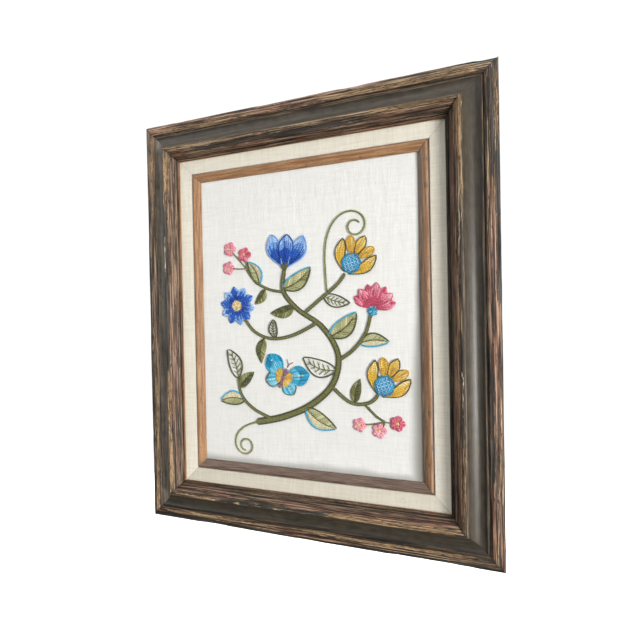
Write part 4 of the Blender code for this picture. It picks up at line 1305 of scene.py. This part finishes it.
def sew_berries(skein):
    """Small round blooms: a pink ring of satin stitches round a few straw knots."""
    for number, (x, y, radius) in enumerate(BERRIES):
        shades = ("pink", "blush", "pink") if number % 3 else ("rose", "rose", "pink")
        count = round(math.tau * radius * 0.85 / YARN_PITCH)
        for k in range(count):
            angle = math.tau * k / count
            scallop = radius * (0.76 + 0.32 * abs(math.cos(2.5 * angle)) ** 0.7)
            way = pointing(angle)
            straight(skein, (x, y) + way * 1.1, (x, y) + way * scallop, pick(shades), lift=0.35, crown=0.3)
        knot_patch(skein, x, y, 2.1, ("straw", "gold"), lift=0.75, spacing=1.6, dome=0.2)


def sew_butterfly(skein):
    """Turquoise wings with gold bars and a mauve body with two feelers."""
    fore = ((0.04, 0.4, ("gold", "honey")), (0.32, 0.7, ("aqua", "turquoise")),
            (0.62, 1.0, ("turquoise", "teal")))
    hind = ((0.06, 0.5, ("straw", "gold")), (0.42, 1.0, ("aqua", "turquoise")))
    *wings, body = head_lobes(BUTTERFLY)
    for number, lobe in enumerate(wings):
        rows, lift, shades = (fore, 0.35, ("teal", "turquoise")) if number < 2 else (hind, 0.1, ("umber",))
        long_and_short(skein, lobe, rows, lift=lift)
        outline(skein, lobe, shades, lift=0.45, radius=YARN_RADIUS * 0.8)
        for t in (0.6, 0.76):
            french_knot(skein, lobe_place(lobe, t, 0.0), "straw", lift=0.95)
    for side in (1, -1):
        slanting_fill(skein, body, side, ("mauve", "plum"), slant=0.05, inner=-0.6, lift=0.75)
    head = lobe_place(body, 0.95, 0.0)
    for lean in (-24, 24):
        way = pointing(math.radians(BUTTERFLY.heading + lean))
        bow = left_of(way) * -math.copysign(1.4, lean)
        route = smooth_route([head, head + way * 4.5 + bow, head + way * 9.5])
        stem_stitch(skein, route, ("plum",), radius=YARN_RADIUS * 0.6, reach=3, advance=1.6)
        french_knot(skein, route[-1], "mauve", size=0.85)


# Each piece of yarn, so divided that none grows too heavy: its name, how it is sewn and of what
YARN_PIECES = (
    ("yarn_stems", sew_stems), ("yarn_tendrils", sew_tendrils),
    ("yarn_leaves_low", sew_leaves, LEAVES[::2]), ("yarn_leaves_high", sew_leaves, LEAVES[1::2]),
    ("yarn_tulip", sew_tulip), ("yarn_aster", sew_aster), ("yarn_carnation", sew_carnation),
    ("yarn_fruit_low", sew_fruit, FRUIT_LOW), ("yarn_fruit_high", sew_fruit, FRUIT_HIGH),
    ("yarn_berries", sew_berries), ("yarn_butterfly", sew_butterfly),
)


def sew_piece(material, name, sew, *what):
    """One piece of yarn, sewn and then built."""
    skein = Skein()
    sew(skein, *what)
    return skein.build(name, material)


# Setting

def add_light(name, location, target, size, power, colour):
    """A round area light that shines at the target."""
    data = bpy.data.lights.new(name, "AREA")
    data.shape = "DISK"
    data.size = size
    data.energy = power
    data.color = colour
    lamp = add_object(name, data)
    lamp.location = location
    way = np.array(target) - np.array(lamp.location)
    lamp.rotation_euler = (math.acos(-way[2] / np.linalg.norm(way)), 0,
                           math.atan2(way[1], way[0]) - math.pi / 2)


def build_floor():
    """A pale floor that is lit by its own glow, so that it stays even."""
    mesh = bpy.data.meshes.new("floor")
    angle = np.linspace(0, math.tau, FLOOR_CORNERS + 1)[:-1]
    mesh.from_pydata([(FLOOR_RADIUS * math.cos(a), FLOOR_RADIUS * math.sin(a), FLOOR_Z) for a in angle],
                     [], [range(FLOOR_CORNERS)])
    floor = add_object("floor", mesh)
    g = new_material("pale_floor")
    grain = g.node("ShaderNodeTexNoise", {"Scale": 3.0}).outputs["Fac"]
    shader = g.tree.nodes["Principled BSDF"]
    g.tree.links.new(g.blend(grain, "f4f4f2", "fafaf8"), shader.inputs["Base Color"])
    shader.inputs["Roughness"].default_value = 0.9
    shader.inputs["Emission Color"].default_value = (1, 1, 1, 1)
    shader.inputs["Emission Strength"].default_value = 0.8
    mesh.materials.append(g.owner)
    floor.visible_diffuse = False
    floor.visible_glossy = False


def build_setting():
    """A pale floor, soft light from above, a key light from the right and the photograph's camera."""
    build_floor()
    scene = bpy.context.scene
    scene.world = bpy.data.worlds.new("studio")
    g = Graph(scene.world)
    background = g.tree.nodes["Background"]
    sight = g.node("ShaderNodeLightPath").outputs["Is Camera Ray"]
    g.tree.links.new(g.blend(sight, (0.98, 0.985, 0.98, 1), (1, 1, 1, 1)), background.inputs["Color"])
    rise = g.parts(g.node("ShaderNodeTexCoord").outputs["Generated"])["Z"]
    glow = g.plus(g.step(rise, -0.5, 0.6, 0.16, 0.72), g.step(rise, 0.6, 0.9, 0.0, 1.0))
    strength = g.node("ShaderNodeMapRange", {"Value": sight, "To Min": glow, "To Max": 1.05}).outputs[0]
    g.tree.links.new(strength, background.inputs["Strength"])
    scene.view_settings.view_transform = "Standard"
    scene.view_settings.look = "None"

    middle = (0, -0.012, CENTRE_Z * MM)
    add_light("key", (2.5, -1.6, -0.62), middle, 0.8, 117, (1.0, 0.985, 0.965))
    add_light("fill", (-1.6, -1.2, 0.5), middle, 1.2, 8, (1.0, 0.98, 0.95))

    lens = bpy.data.cameras.new("camera")
    lens.sensor_width = SENSOR_WIDTH
    lens.lens = FOCAL_PIXELS / PHOTO_WIDTH * SENSOR_WIDTH
    lens.clip_start = 0.01
    camera = add_object("camera", lens)
    camera.location = CAMERA_PLACE
    camera.rotation_euler = [math.radians(angle) for angle in CAMERA_TURN]
    scene.camera = camera


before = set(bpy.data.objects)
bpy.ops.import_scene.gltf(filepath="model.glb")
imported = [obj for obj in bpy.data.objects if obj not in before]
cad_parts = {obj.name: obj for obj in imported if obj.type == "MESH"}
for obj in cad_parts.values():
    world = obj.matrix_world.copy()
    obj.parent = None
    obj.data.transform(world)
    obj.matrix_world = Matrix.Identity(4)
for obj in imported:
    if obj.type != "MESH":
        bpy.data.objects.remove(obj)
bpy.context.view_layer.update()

liner_linen = linen_material("liner_linen", "ebe6d7", "ded8c8", "7a6248", 0.62, 0.6, 0.3, "6d604c")
panel_linen = linen_material("panel_linen", "f1f1ee", "e6e6e2", "c9c6bd", 0.5, 0.25, 0.2, "7a776f")
FAMILIES = (
    ("frame", frame_profile(), weather_frame, barn_wood_material(), "barn_wood"),
    ("liner", liner_profile(), weather_liner, liner_linen, "liner_linen"),
    ("fillet", fillet_profile(), weather_fillet, fillet_material(), "fillet_wood"),
)
for prefix, profile, weather, material, slot in FAMILIES:
    for number, rail in enumerate(RAILS):
        build_rail(prefix, rail, number, profile, weather, material)

linen = build_linen(panel_linen)
wool = wool_material()
yarn = [sew_piece(wool, *piece) for piece in YARN_PIECES]
build_setting()
